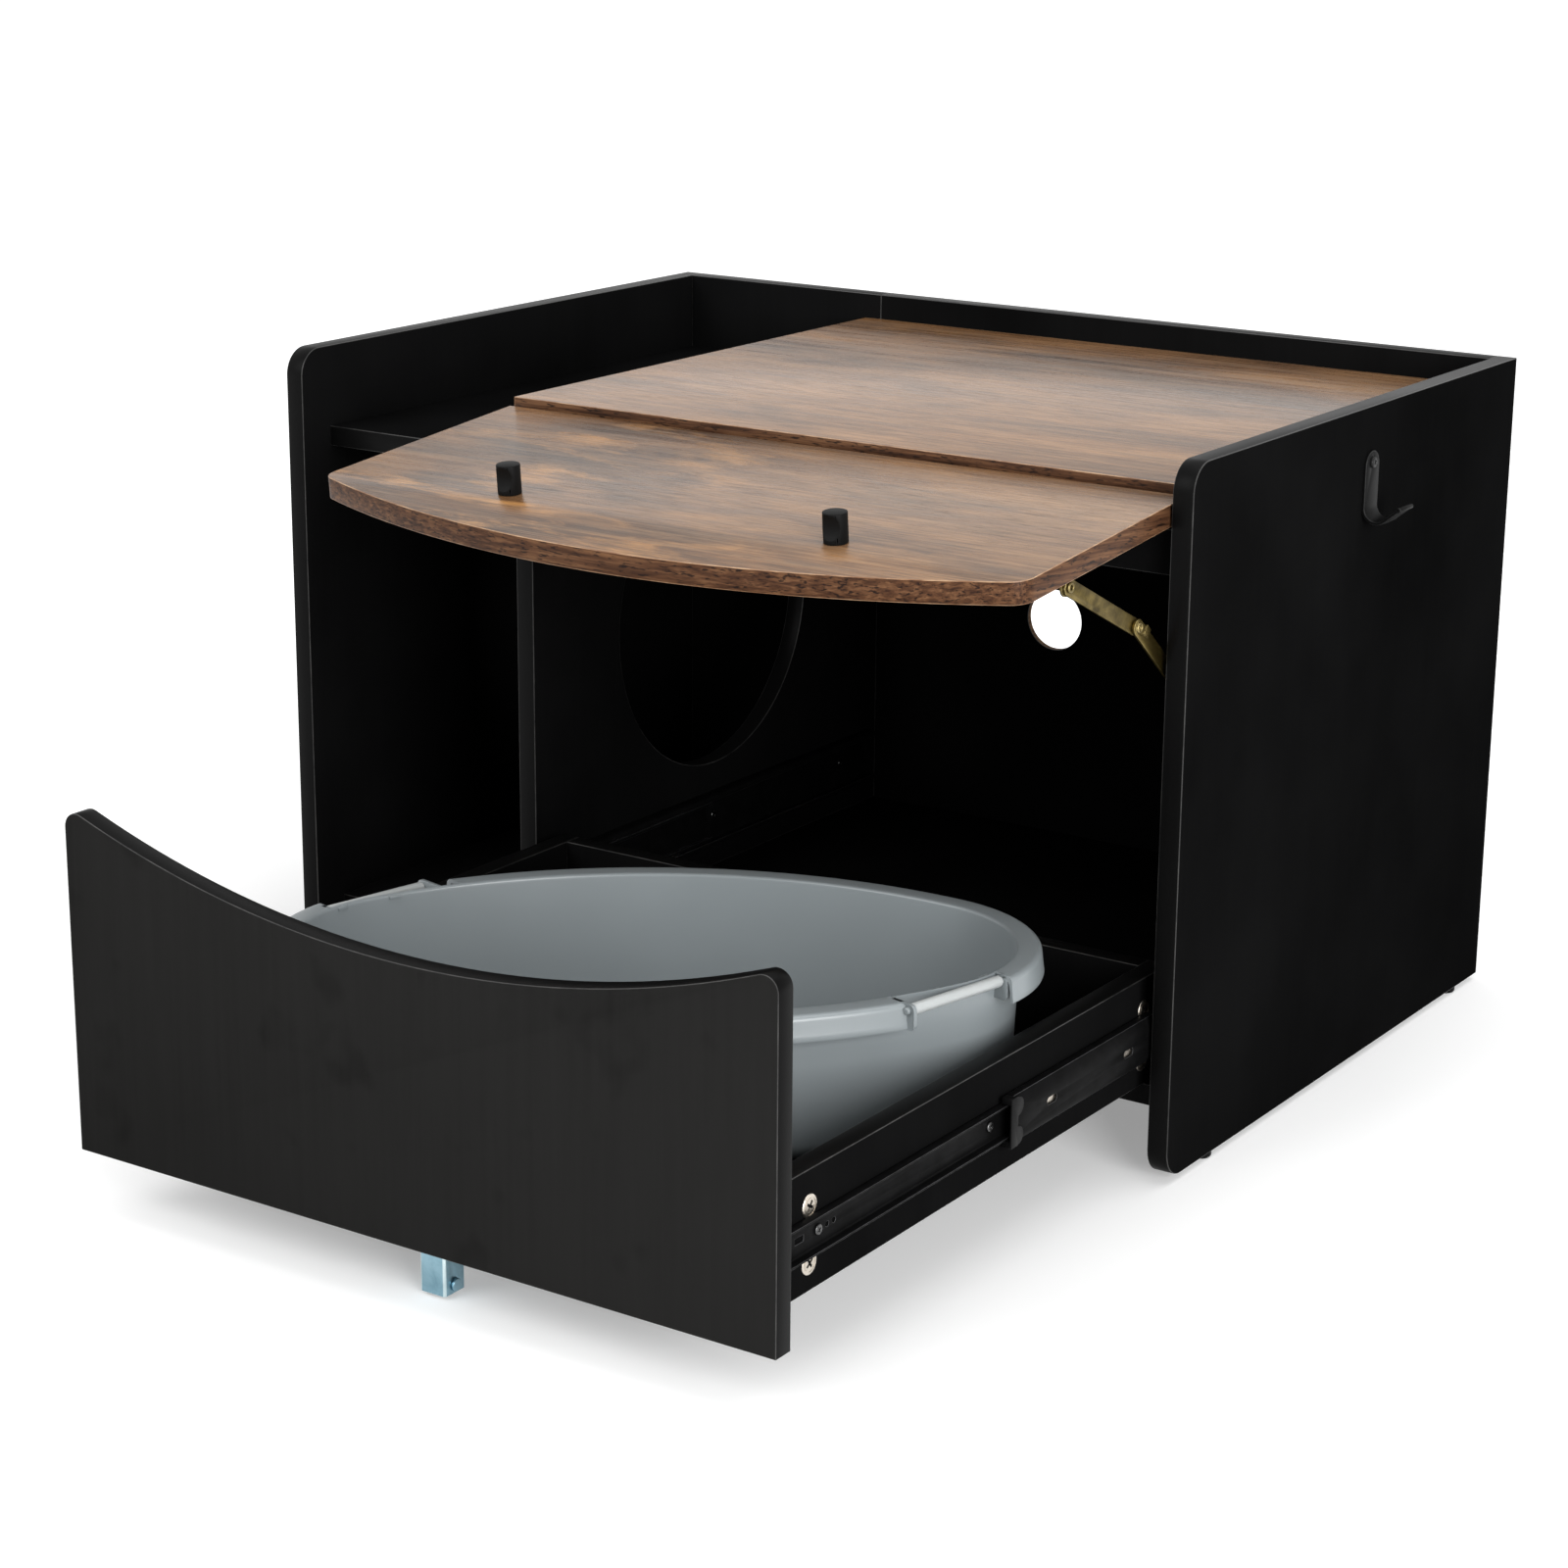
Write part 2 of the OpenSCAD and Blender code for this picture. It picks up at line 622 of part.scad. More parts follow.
module slide_screws_cabinet() color("#8c8c88")
  for (right = [-1, 1], y = [screw_inset, slide_l / 2, slide_l - screw_inset])
    at_slide(right) disc_x([sheet_t, y_outer + y, 0], screw_head_r, sheet_t);
module slide_screws_drawer() color("#b8b4a8")
  for (right = [-1, 1], i = [0:2]) at_slide(right)
    disc_x([slide_t - sheet_t - drawer_screw_t, y_inner + drawer_screw_inset + i * drawer_screw_pitch, 0],
      screw_head_r, drawer_screw_t);

// ---- drawer ----
module front_outline() {
  r = front_corner_r;
  half = front_w / 2;
  big = (half * half + front_dip * front_dip) / (2 * front_dip);
  zc = front_mid_h + big - sqrt((big + r) * (big + r) - (half - r) * (half - r));
  xt = (half - r) * big / (big + r);
  for (s = [-1, 1]) {
    translate([s > 0 ? xt - 1 : -half, 0]) square([half - xt + 1, zc]);
    translate([s * (half - r), zc]) circle(r);
  }
  difference() {
    translate([-xt, 0]) square([2 * xt, zc + r]);
    translate([0, front_mid_h + big]) circle(big, $fn = 360);
  }
}
module drawer_front() color("#242424") difference() {
  plate_y(yd, board_t) translate([front_mid, z_front]) front_outline();
  board([box_left + board_t - groove_d, yd_in - groove_d, z_bottom],
    [box_right - board_t + groove_d, yd_in + 1, z_bottom + bottom_t]);
}
module drawer_side(x) color("#171717") difference() {
  board([x, yd_in, z_side], [x + board_t, yd_end, z_side + side_h]);
  cam_holes();
  board([box_left + board_t - groove_d, yd_in - 1, z_bottom],
    [box_right - board_t + groove_d, yd_end - board_t + groove_d, z_bottom + bottom_t]);
}
module cam_holes() {
  disc_row(box_left - 1, cam_d / 2, cam_depth + 1);
  disc_row(box_right - cam_depth, cam_d / 2, cam_depth + 1);
}
module disc_row(x, r, t)
  for (y = [yd_in + cam_inset, yd_end - cam_inset], z = [-cam_pitch / 2, cam_pitch / 2])
    disc_x([x, y, z_cams + z], r, t);
module cam_locks() color("#c4beb2") {
  disc_row(box_left, cam_d / 2, cam_depth);
  disc_row(box_right - cam_depth, cam_d / 2, cam_depth);
}
module drawer_back() color("#171717") difference() {
  board([box_left + board_t, yd_end - board_t, z_side], [box_right - board_t, yd_end, z_side + side_h]);
  board([box_left, yd_end - board_t - 1, z_bottom],
    [box_right, yd_end - board_t + groove_d, z_bottom + bottom_t]);
}
module drawer_bottom() color("#1c1c1c") board(
  [box_left + board_t - groove_d, yd_in - groove_d, z_bottom],
  [box_right - board_t + groove_d, yd_end - board_t + groove_d, z_bottom + bottom_t]);

// ---- support leg ----
module support_leg() color("#9db4bb") difference() {
  union() {
    translate([front_mid - leg_w / 2, leg_y - leg_w / 2, roller_show])
      cube([leg_w, leg_w, z_leg_top - roller_show]);
    translate([front_mid - leg_plate_w / 2, yd + 1, z_leg_top])
      cube([leg_plate_w, leg_y + leg_w / 2 + leg_plate_lap - yd - 1, leg_plate_t]);
  }
  translate([front_mid - leg_w / 2 + leg_wall, leg_y - leg_w / 2 + leg_wall, roller_show - 1])
    cube([leg_w - 2 * leg_wall, leg_w - 2 * leg_wall, z_leg_top - roller_show + 1]);
  disc_x([front_mid - leg_w, leg_y, z_axle], axle_r, 2 * leg_w);
}
module leg_axle() color("#8f9496") {
  disc_x([front_mid - leg_w / 2 - 1, leg_y, z_axle], axle_r, leg_w + 2);
  disc_x([front_mid + leg_w / 2, leg_y, z_axle], axle_r + axle_head, axle_head_t);
  disc_x([front_mid - leg_w / 2 - axle_end_t, leg_y, z_axle], axle_r + axle_head, axle_end_t);
}
module leg_roller() color("#101010") difference() {
  disc_x([front_mid - roller_w / 2, leg_y, z_axle], roller_r, roller_w);
  disc_x([front_mid - roller_w, leg_y, z_axle], axle_r + pivot_play, 2 * roller_w);
}

// ---- pan: an oval of four arcs, drawn in by d all round ----
side_r = (pan_a * pan_a + pan_b * pan_b - 2 * pan_a * pan_end_r) / (2 * (pan_b - pan_end_r));
end_x = pan_a - pan_end_r;
side_y = side_r - pan_b;
meet = atan2(side_y, end_x);
module oval(d) {
  cut = end_x * side_r / (side_r - pan_end_r);
  for (s = [-1, 1]) translate([s * end_x, 0]) circle(pan_end_r - d);
  intersection() {
    translate([0, -side_y]) circle(side_r - d, $fn = 240);
    translate([0, side_y]) circle(side_r - d, $fn = 240);
    square([2 * (cut - d * end_x / (side_r - pan_end_r)), 2 * pan_b], center = true);
  }
}
// Points of a quarter turn about c, from angle a
function bend(c, r, a, turn) = [for (i = [0:3]) c + r * [cos(a + turn * i / 3), sin(a + turn * i / 3)]];
// Section of wall, rim and skirt: the distance in from the rim's edge, and the height
wall_foot = rim_w + pan_draft;
wall_section = concat(
  [[wall_foot + pan_floor_r + floor_lap, 0]],
  bend([wall_foot + pan_floor_r, pan_floor_r], pan_floor_r, 270, -90),
  [[rim_w, pan_h - pan_wall], [skirt_flare + pan_wall, pan_h - pan_wall],
    [pan_wall, pan_h - skirt_h], [0, pan_h - skirt_h]],
  bend([skirt_flare + rim_r, pan_h - rim_r], rim_r, 180, -90),
  bend([rim_w + pan_wall - rim_r / 2, pan_h - rim_r / 2], rim_r / 2, 90, -90),
  bend([wall_foot + pan_floor_r, pan_floor_r], pan_floor_r - pan_wall, 180, 90),
  [[wall_foot + pan_floor_r + floor_lap, pan_wall]]);
module ring(r) rotate_extrude() polygon([for (p = wall_section) [r - p[0], p[1]]]);
module wedge(points) translate([0, 0, -1]) linear_extrude(pan_h + 2) polygon(points);
module pan_bowl() {
  far = 2 * pan_a * [cos(meet), sin(meet)];
  for (s = [0, 180]) rotate(s) {
    translate([end_x, 0, 0]) intersection() {
      ring(pan_end_r);
      translate([-seam_lap, 0, 0]) wedge([[0, 0], [far[0], -far[1]], [far[0] + pan_a, 0], far]);
    }
    intersection() {
      translate([0, -side_y, 0]) ring(side_r, $fn = 240);
      wedge([[end_x, 0], [end_x, 0] + far, [-end_x, 0] + [-far[0], far[1]], [-end_x, 0]]);
    }
  }
  linear_extrude(pan_wall) oval(wall_foot + pan_floor_r - floor_lap);
}
module at_rods() for (a = [0, 180]) rotate(a) rotate(rod_angle - 90) translate([rod_far, 0, 0]) children();
module ear_section() {
  back = 3 * rim_w;
  out = rod_r + ear_lap - rod_in;
  difference() {
    translate([-back, pan_h - skirt_h]) square([back + out, skirt_h]);
    translate([out - ear_r, pan_h - ear_r]) square(2 * ear_r);
  }
  translate([out - ear_r, pan_h - ear_r]) circle(ear_r);
}
module litter_pan() color("#a4aaac") translate(pan_at) rotate(pan_turn) {
  difference() {
    pan_bowl();
    at_rods() translate([-rod_in - rod_r - rod_play, -rod_l / 2, pan_h - skirt_h - 1])
      cube([3 * rim_w, rod_l, skirt_h + 2]);
  }
  difference() {
    at_rods() for (s = [0, 1]) mirror([0, s, 0]) {
      translate([0, rod_l / 2 + rod_ear_t, 0]) rotate([90, 0, 0]) linear_extrude(rod_ear_t) ear_section();
      translate([-rod_in, rod_l / 2 + rod_ear_t + boss_h, pan_h - rod_r - rod_play])
        rotate([90, 0, 0]) cylinder(h = boss_h + eps, r = boss_r);
    }
    linear_extrude(pan_h + 1) oval(rim_w + pan_wall / 2);
  }
  at_rods() for (y = tab_y) translate([-rim_w - pan_wall - tab_t, y - tab_w / 2, pan_h - rim_r / 2 - tab_h])
    cube([tab_t + pan_wall / 2, tab_w, tab_h]);
}
module pan_latch_rods() color("#b4b9ba") translate(pan_at) rotate(pan_turn)
  at_rods() translate([-rod_in, rod_l / 2, pan_h - rod_r - rod_play])
    rotate([90, 0, 0]) cylinder(h = rod_l, r = rod_r);

// ---- flap: drawn closed about the hinge axis, then opened ----
module open_flap() translate([0, yh, z_hinge]) rotate([-flap_open, 0, 0]) children();
module flap_outline() {
  r = flap_corner_r;
  half = flap_w / 2;
  bulge = flap_mid_l - flap_end_l;
  big = (half * half + bulge * bulge) / (2 * bulge);
  zb = -flap_mid_l + big;
  zc = zb - sqrt((big - r) * (big - r) - (half - r) * (half - r));
  xt = (half - r) * big / (big - r);
  translate([-half, zc]) square([2 * half, -zc]);
  for (s = [-1, 1]) translate([s * (half - r), zc]) circle(r);
  intersection() {
    translate([-xt, -flap_mid_l]) square([2 * xt, flap_mid_l]);
    translate([0, zb]) circle(big, $fn = 360);
  }
}
module flap() color("#8a6244") open_flap()
  plate_y(-hinge_off - board_t, board_t) translate([flap_mid, hinge_edge]) flap_outline();
module knob(x) color("#181818") open_flap()
  translate([x, -hinge_off - board_t, hinge_edge - knob_reach]) rotate([90, 0, 0]) difference() {
    cylinder(h = knob_h, d = knob_d);
    translate([0, -scoop_r - knob_d / 2 + scoop_d, knob_h * scoop_at])
      rotate([0, 90, 0]) cylinder(h = 2 * knob_d, r = scoop_r, center = true);
  }
module knob_right() knob(flap_right - knob_inset);
module knob_left() knob(flap_right - knob_inset - knob_pitch);

// ---- hinges: five knuckles, the fixed leaf has the odd ones ----
knuckles = 5;
knuckle_l = hinge_l / knuckles;
module at_hinges() for (x = [flap_left + hinge_inset, flap_right - hinge_inset])
  translate([x - hinge_l / 2, 0, 0]) children();
module knuckle_row(first) for (i = [first:2:knuckles - 1])
  disc_x([i * knuckle_l + run_gap / 2, 0, 0], barrel_r, knuckle_l - run_gap);
module barrel_gaps(first) for (i = [first:2:knuckles - 1])
  translate([i * knuckle_l - run_gap / 2, -barrel_r - run_gap, -barrel_r - run_gap])
    cube([knuckle_l + run_gap, 2 * (barrel_r + run_gap), 2 * (barrel_r + run_gap)]);
module hinge_fixed_leaves() color("#5d5d5a") translate([0, yh, z_hinge]) at_hinges() difference() {
  union() {
    knuckle_row(0);
    difference() {
      translate([0, 0, -hinge_off]) cube([hinge_l, leaf_w, leaf_t]);
      barrel_gaps(1);
    }
  }
  disc_x([-1, 0, 0], pin_r + pivot_play, hinge_l + 2);
}
module hinge_moving_leaves() color("#5d5d5a") open_flap() at_hinges() difference() {
  union() {
    knuckle_row(1);
    difference() {
      translate([0, -hinge_off, -2 * leaf_w]) cube([hinge_l, leaf_t, 2 * leaf_w]);
      barrel_gaps(0);
    }
  }
  disc_x([-1, 0, 0], pin_r, hinge_l + 2);
}
module hinge_pins() color("#77776f") open_flap() at_hinges() disc_x([0, 0, 0], pin_r, hinge_l);

// ---- lid stay ----
module stay_arm(x, from, to, from_hole, chamfer) translate([x - stay_t, from[0], from[1]])
  rotate([heading(from, to), 0, 0]) rotate([90, 0, 90]) linear_extrude(stay_t) difference() {
    half = stay_w / 2;
    union() {
      translate([0, -half]) square([stay_l, stay_w]);
      translate([stay_l, 0]) circle(half);
      if (chamfer > 0) polygon([[1, half], [chamfer - half, half], [-half, half - chamfer],
        [-half, chamfer - half], [chamfer - half, -half], [1, -half]]);
      else circle(half);
    }
    circle(from_hole);
  }
module stay_upper_arm() color("#77683a")
  stay_arm(x_upper_arm, stay_ear, stay_knee, stud_r + pivot_play, stay_chamfer);
module stay_lower_arm() color("#77683a") {
  stay_arm(x_lower_arm, stay_fix, stay_knee, stud_r + pivot_play, 0);
  difference() {
    disc_x([x_lower_arm - eps, stay_knee[0], stay_knee[1]], rivet_r, rivet_h + eps);
    disc_x([x_lower_arm, stay_knee[0], stay_knee[1]], rivet_hole_r, rivet_h + 1);
  }
  translate([x_lower_arm - stay_t, stay_fix[0], stay_fix[1]]) rotate([heading(stay_fix, stay_knee), 0, 0])
    translate([0, stay_l - lug_reach - lug_w / 2, -stay_w / 2 - lug_lap])
      cube([stay_t + rivet_h, lug_w, lug_w]);
}
module stay_fixed_bracket() color("#77683a") {
  translate([bay_right - stay_foot_t, stay_fix[0] - stay_foot_w / 2, stay_fix[1] - stay_foot_l / 2])
    cube([stay_foot_t, stay_foot_w, stay_foot_l]);
  disc_x([x_lower_arm - stay_t - side_play, stay_fix[0], stay_fix[1]], stud_r,
    stay_t + side_play + stay_stand - stay_foot_t + eps);
  disc_x([x_lower_arm - stay_t - side_play - rivet_h, stay_fix[0], stay_fix[1]], rivet_r, rivet_h);
  disc_x([x_lower_arm + side_play, stay_fix[0], stay_fix[1]], washer_r, stay_stand - stay_foot_t - side_play);
}
module stay_flap_bracket() color("#77683a") open_flap() {
  x_ear = x_upper_arm - stay_t - side_play - ear_t;
  plate_x(x_ear, ear_t) {
    translate([stay_ear_y, -stay_reach]) circle(stay_off);
    translate([-hinge_off, -stay_reach - stay_off]) square([stay_off, 2 * stay_off]);
  }
  translate([x_ear - ear_foot_w, -hinge_off, -stay_reach - ear_foot_l / 2])
    cube([ear_foot_w + ear_t, ear_t, ear_foot_l]);
  disc_x([x_ear + ear_t - eps, stay_ear_y, -stay_reach], stud_r, stay_t + 2 * side_play + eps);
  disc_x([x_upper_arm + side_play, stay_ear_y, -stay_reach], rivet_r, rivet_h);
}

module slide_outer_left() slide_outer(-1);
module slide_outer_right() slide_outer(1);
module slide_inner_left() slide_inner(-1);
module slide_inner_right() slide_inner(1);
module slide_middle_left() slide_middle(-1);
module slide_middle_right() slide_middle(1);
module slide_clip_left() slide_clip(-1);
module slide_clip_right() slide_clip(1);
module ball_cages_left() ball_cages(-1);
module ball_cages_right() ball_cages(1);
module drawer_side_left() drawer_side(box_left);
module drawer_side_right() drawer_side(box_right - board_t);

left_side_panel();
right_side_panel();
partition();
top_panel();
left_shelf();
floor_panel();
left_back_panel();
right_back_panel();
front_rail();
glide_feet();
strap_hook();
hook_screw();
slide_outer_left();
slide_outer_right();
slide_screws_cabinet();
hinge_fixed_leaves();
stay_fixed_bracket();
slide_middle_left();
slide_clip_left();
ball_cages_left();
slide_middle_right();
slide_clip_right();
ball_cages_right();
drawer_front();
drawer_side_left();
drawer_side_right();
drawer_back();
drawer_bottom();
cam_locks();
slide_inner_left();
slide_inner_right();
slide_screws_drawer();
support_leg();
leg_axle();
leg_roller();
litter_pan();
pan_latch_rods();
flap();
knob_left();
knob_right();
hinge_moving_leaves();
hinge_pins();
stay_flap_bracket();
stay_upper_arm();
stay_lower_arm();
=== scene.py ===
# Drawer litter box: the looks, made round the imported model.
import math
import random

import bmesh
import bpy
from mathutils import Matrix, Vector


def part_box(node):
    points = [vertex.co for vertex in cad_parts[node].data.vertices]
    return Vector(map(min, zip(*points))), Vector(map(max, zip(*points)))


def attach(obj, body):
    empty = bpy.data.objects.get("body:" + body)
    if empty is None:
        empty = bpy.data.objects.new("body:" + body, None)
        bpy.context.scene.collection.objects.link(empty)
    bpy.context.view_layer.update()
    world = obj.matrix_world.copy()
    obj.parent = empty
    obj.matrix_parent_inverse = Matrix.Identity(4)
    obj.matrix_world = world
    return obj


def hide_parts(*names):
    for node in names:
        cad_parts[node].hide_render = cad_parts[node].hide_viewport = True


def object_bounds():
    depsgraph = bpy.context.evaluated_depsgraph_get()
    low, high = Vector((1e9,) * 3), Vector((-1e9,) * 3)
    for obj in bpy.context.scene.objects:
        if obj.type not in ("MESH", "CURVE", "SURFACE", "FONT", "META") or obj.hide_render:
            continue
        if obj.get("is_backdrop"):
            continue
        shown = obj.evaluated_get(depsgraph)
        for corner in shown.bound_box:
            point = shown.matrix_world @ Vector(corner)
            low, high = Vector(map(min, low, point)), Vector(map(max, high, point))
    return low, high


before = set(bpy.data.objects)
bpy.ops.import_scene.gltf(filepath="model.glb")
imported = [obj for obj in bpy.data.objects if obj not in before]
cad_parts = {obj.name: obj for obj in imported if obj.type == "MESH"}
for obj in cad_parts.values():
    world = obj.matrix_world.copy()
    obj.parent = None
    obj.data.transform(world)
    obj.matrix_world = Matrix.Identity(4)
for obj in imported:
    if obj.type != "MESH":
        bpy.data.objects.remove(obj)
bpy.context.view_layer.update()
print("frame loaded:", len(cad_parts), "nodes")

mm = 0.001
dice = random.Random(7)


def letGo():
    if bpy.context.object and bpy.context.object.mode != "OBJECT":
        bpy.ops.object.mode_set(mode="OBJECT")
    bpy.ops.object.select_all(action="DESELECT")


def takeUp(piece):
    letGo()
    piece.select_set(True)
    bpy.context.view_layer.objects.active = piece


def settle(piece):
    takeUp(piece)
    bpy.ops.object.transform_apply(location=True, rotation=True, scale=True)


def moveTo(piece, matrix):
    piece.matrix_world = matrix
    settle(piece)


def addBlock(name, low, high):
    letGo()
    low, high = Vector(low), Vector(high)
    bpy.ops.mesh.primitive_cube_add(size=1, location=(low + high) / 2, scale=high - low)
    bpy.context.object.name = name
    settle(bpy.context.object)
    return bpy.context.object


def addRound(name, middle, radius, length, axis="X", sides=48):
    letGo()
    turn = {"X": (0, math.pi / 2, 0), "Y": (math.pi / 2, 0, 0), "Z": (0, 0, 0)}[axis]
    bpy.ops.mesh.primitive_cylinder_add(vertices=sides, radius=radius, depth=length,
                                        location=middle, rotation=turn)
    bpy.context.object.name = name
    settle(bpy.context.object)
    return bpy.context.object


def pick(piece, kind, test):
    takeUp(piece)
    bpy.ops.object.mode_set(mode="EDIT")
    bpy.ops.mesh.select_mode(type=kind)
    bpy.ops.mesh.select_all(action="DESELECT")
    shape = bmesh.from_edit_mesh(piece.data)
    items = {"VERT": shape.verts, "EDGE": shape.edges, "FACE": shape.faces}[kind]
    for item in items:
        item.select_set(bool(test(item)))
    shape.select_flush_mode()
    bmesh.update_edit_mesh(piece.data)


def facesOut(piece):
    pick(piece, "FACE", lambda face: True)
    bpy.ops.mesh.normals_make_consistent(inside=False)
    letGo()


def edgeMiddle(edge):
    return (edge.verts[0].co + edge.verts[1].co) / 2


def edgeAlong(edge, axis):
    step = edge.verts[1].co - edge.verts[0].co
    return abs(step[axis]) > 0.95 * step.length


def roundCorners(piece, test, radius, steps):
    pick(piece, "EDGE", test)
    bpy.ops.mesh.bevel(offset=radius, segments=steps, affect="EDGES")
    letGo()


def carve(piece, cutter, how="DIFFERENCE"):
    takeUp(piece)
    cut = piece.modifiers.new("cut", "BOOLEAN")
    cut.object, cut.operation, cut.solver = cutter, how, "EXACT"
    bpy.ops.object.modifier_apply(modifier=cut.name)
    bpy.data.objects.remove(cutter, do_unlink=True)


def softenEdges(piece, width, steps=2, lineSlot=-1, angle=35, clamp=True):
    takeUp(piece)
    soft = piece.modifiers.new("edge", "BEVEL")
    soft.width, soft.segments, soft.material = width, steps, lineSlot
    soft.use_clamp_overlap = clamp
    soft.limit_method, soft.angle_limit = "ANGLE", math.radians(angle)
    bpy.ops.object.modifier_apply(modifier=soft.name)


def smooth(piece, angle=40):
    takeUp(piece)
    bpy.ops.object.shade_smooth_by_angle(angle=math.radians(angle))


def joinPieces(name, parts):
    letGo()
    for part in parts:
        part.select_set(True)
    bpy.context.view_layer.objects.active = parts[0]
    if len(parts) > 1:
        bpy.ops.object.join()
    parts[0].name = name
    return parts[0]


def copyAt(piece, matrix):
    twin = bpy.data.objects.new(piece.name, piece.data.copy())
    bpy.context.collection.objects.link(twin)
    moveTo(twin, matrix)
    return twin


def facing(place, way, spin=0.0):
    towards = Vector(way).to_track_quat("Z", "Y").to_matrix().to_4x4()
    return Matrix.Translation(place) @ towards @ Matrix.Rotation(spin, 4, "Z")


def putAway(*masters):
    for master in masters:
        bpy.data.objects.remove(master, do_unlink=True)


def fromNode(node, names, width, lineSlot):
    # a merged copy of a CAD solid, with its sharp edges eased
    letGo()
    piece = bpy.data.objects.new(node + "Shape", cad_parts[node].data.copy())
    bpy.context.collection.objects.link(piece)
    wear(piece, *names)
    pick(piece, "VERT", lambda vertex: True)
    bpy.ops.mesh.remove_doubles(threshold=0.002 * mm)
    bpy.ops.mesh.dissolve_limited(angle_limit=math.radians(0.5))
    letGo()
    softenEdges(piece, width, 2, lineSlot, 30, False)
    return piece


def done(piece, body, slotName, *nodes):
    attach(piece, body)
    if nodes:
        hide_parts(*nodes)


class Wire:
    def __init__(self, finish, socket):
        self.finish, self.socket = finish, socket

    def maths(self, operation, first, second):
        return self.finish.add("ShaderNodeMath", {"operation": operation}, {0: first, 1: second})

    def __add__(self, other):
        return self.maths("ADD", self, other)

    def __sub__(self, other):
        return self.maths("SUBTRACT", self, other)

    def __rsub__(self, other):
        return self.maths("SUBTRACT", other, self)

    def __mul__(self, other):
        return self.maths("MULTIPLY", self, other)

    __radd__, __rmul__ = __add__, __mul__


class Finish:
    def __init__(self, name, world=None):
        self.owner = world or bpy.data.materials.new(name)
        self.owner.use_nodes = True
        self.tree = self.owner.node_tree
        self.tree.nodes.clear()
        self.place = self.add("ShaderNodeTexCoord", {}, {}, "Object")

    def add(self, kind, settings, inputs, out=0):
        node = self.tree.nodes.new(kind)
        for key, value in settings.items():
            if key == "stops":
                while len(node.color_ramp.elements) < len(value):
                    node.color_ramp.elements.new(1.0)
                for element, (spot, colour) in zip(node.color_ramp.elements, value):
                    element.position, element.color = spot, (*colour, 1)
            else:
                setattr(node, key, value)
        for key, value in inputs.items():
            if isinstance(value, Wire):
                self.tree.links.new(value.socket, node.inputs[key])
            elif value is not None:
                node.inputs[key].default_value = value
        return Wire(self, node.outputs[out])

    def stretch(self, size, turn=(0, 0, 0), move=(0, 0, 0), place=None):
        return self.add("ShaderNodeMapping", {"vector_type": "POINT"}, {
            "Vector": place or self.place, "Scale": size, "Rotation": turn, "Location": move})

    def noise(self, place, scale, detail=4.0, rough=0.55, warp=0.0):
        return self.add("ShaderNodeTexNoise", {"noise_dimensions": "3D"}, {
            "Vector": place, "Scale": scale, "Detail": detail, "Roughness": rough,
            "Distortion": warp})

    def band(self, value, low, high, fromValue=0.0, toValue=1.0):
        return self.add("ShaderNodeMapRange", {"clamp": True}, {
            "Value": value, "From Min": low, "From Max": high,
            "To Min": fromValue, "To Max": toValue})

    def mix(self, share, first, second):
        node = self.add("ShaderNodeMix", {"data_type": "RGBA"}, {0: share}, 2).socket.node
        for key, value in ((6, first), (7, second)):
            if isinstance(value, Wire):
                self.tree.links.new(value.socket, node.inputs[key])
            else:
                node.inputs[key].default_value = (*value, 1)
        return Wire(self, node.outputs[2])

    def scaled(self, colour, share):
        return self.add("ShaderNodeVectorMath", {"operation": "SCALE"}, {0: colour, "Scale": share})

    def ramp(self, value, *stops):
        return self.add("ShaderNodeValToRGB", {"stops": stops}, {"Fac": value})

    def bump(self, height, strength, distance):
        return self.add("ShaderNodeBump", {}, {
            "Height": height, "Strength": strength, "Distance": distance})

    def directRays(self):
        # 1 for what the eye, gloss and glass see straight away, so that it is white
        seen = self.add("ShaderNodeLightPath", {}, {}, "Is Camera Ray")
        outputs = seen.socket.node.outputs
        glossy = Wire(self, outputs["Is Glossy Ray"])
        through = Wire(self, outputs["Is Transmission Ray"])
        return self.add("ShaderNodeMath", {"operation": "ADD", "use_clamp": True}, {
            0: seen + glossy, 1: through})

    def surface(self, colour, rough, normal=None, **fixed):
        inputs = {"Base Color": colour if isinstance(colour, Wire) else (*colour, 1),
                  "Roughness": rough, "Normal": normal}
        inputs.update({key.replace("_", " "): value for key, value in fixed.items()})
        self.out(self.add("ShaderNodeBsdfPrincipled", {}, inputs))
        return self.owner

    def out(self, shader, kind="ShaderNodeOutputMaterial"):
        node = self.tree.nodes.new(kind)
        self.tree.links.new(shader.socket, node.inputs["Surface"])


def paler(colour, times, more):
    return [min(1, part * times + more) for part in colour]


def boardFinish(name, colour, rough, shine, mottle=0.3, smudge=0.0):
    # foil on board: a fine grain, faint clouds, soft dark smudges and small pale rubs
    f = Finish(name)
    cloud = f.noise(f.place, 5.0, 3.0)
    grain = f.noise(f.place, 900.0, 2.0)
    brushed = f.noise(f.stretch((260, 260, 9)), 1.0, 3.0, 0.6)
    rubs = f.band(f.noise(f.stretch((60, 60, 14)), 1.0, 5.0, 0.7), 0.72, 0.82)
    dark = f.band(f.noise(f.stretch((24, 24, 24)), 1.0, 2.0, 0.5), 0.62, 0.74) * smudge
    shade = f.band(cloud, 0.3, 0.7, 1 - mottle, 1 + mottle) * (1 - dark)
    shade = shade + (brushed - 0.5) * 0.25
    base = f.mix(rubs * 0.06, f.scaled(colour, shade), (0.06, 0.06, 0.058))
    roughness = f.band(cloud, 0.3, 0.7, rough - 0.05, rough + 0.05) + grain * 0.06 - 0.03
    normal = f.bump(grain, 0.25, 0.00015)
    return f.surface(base, roughness, normal, Specular_IOR_Level=shine)


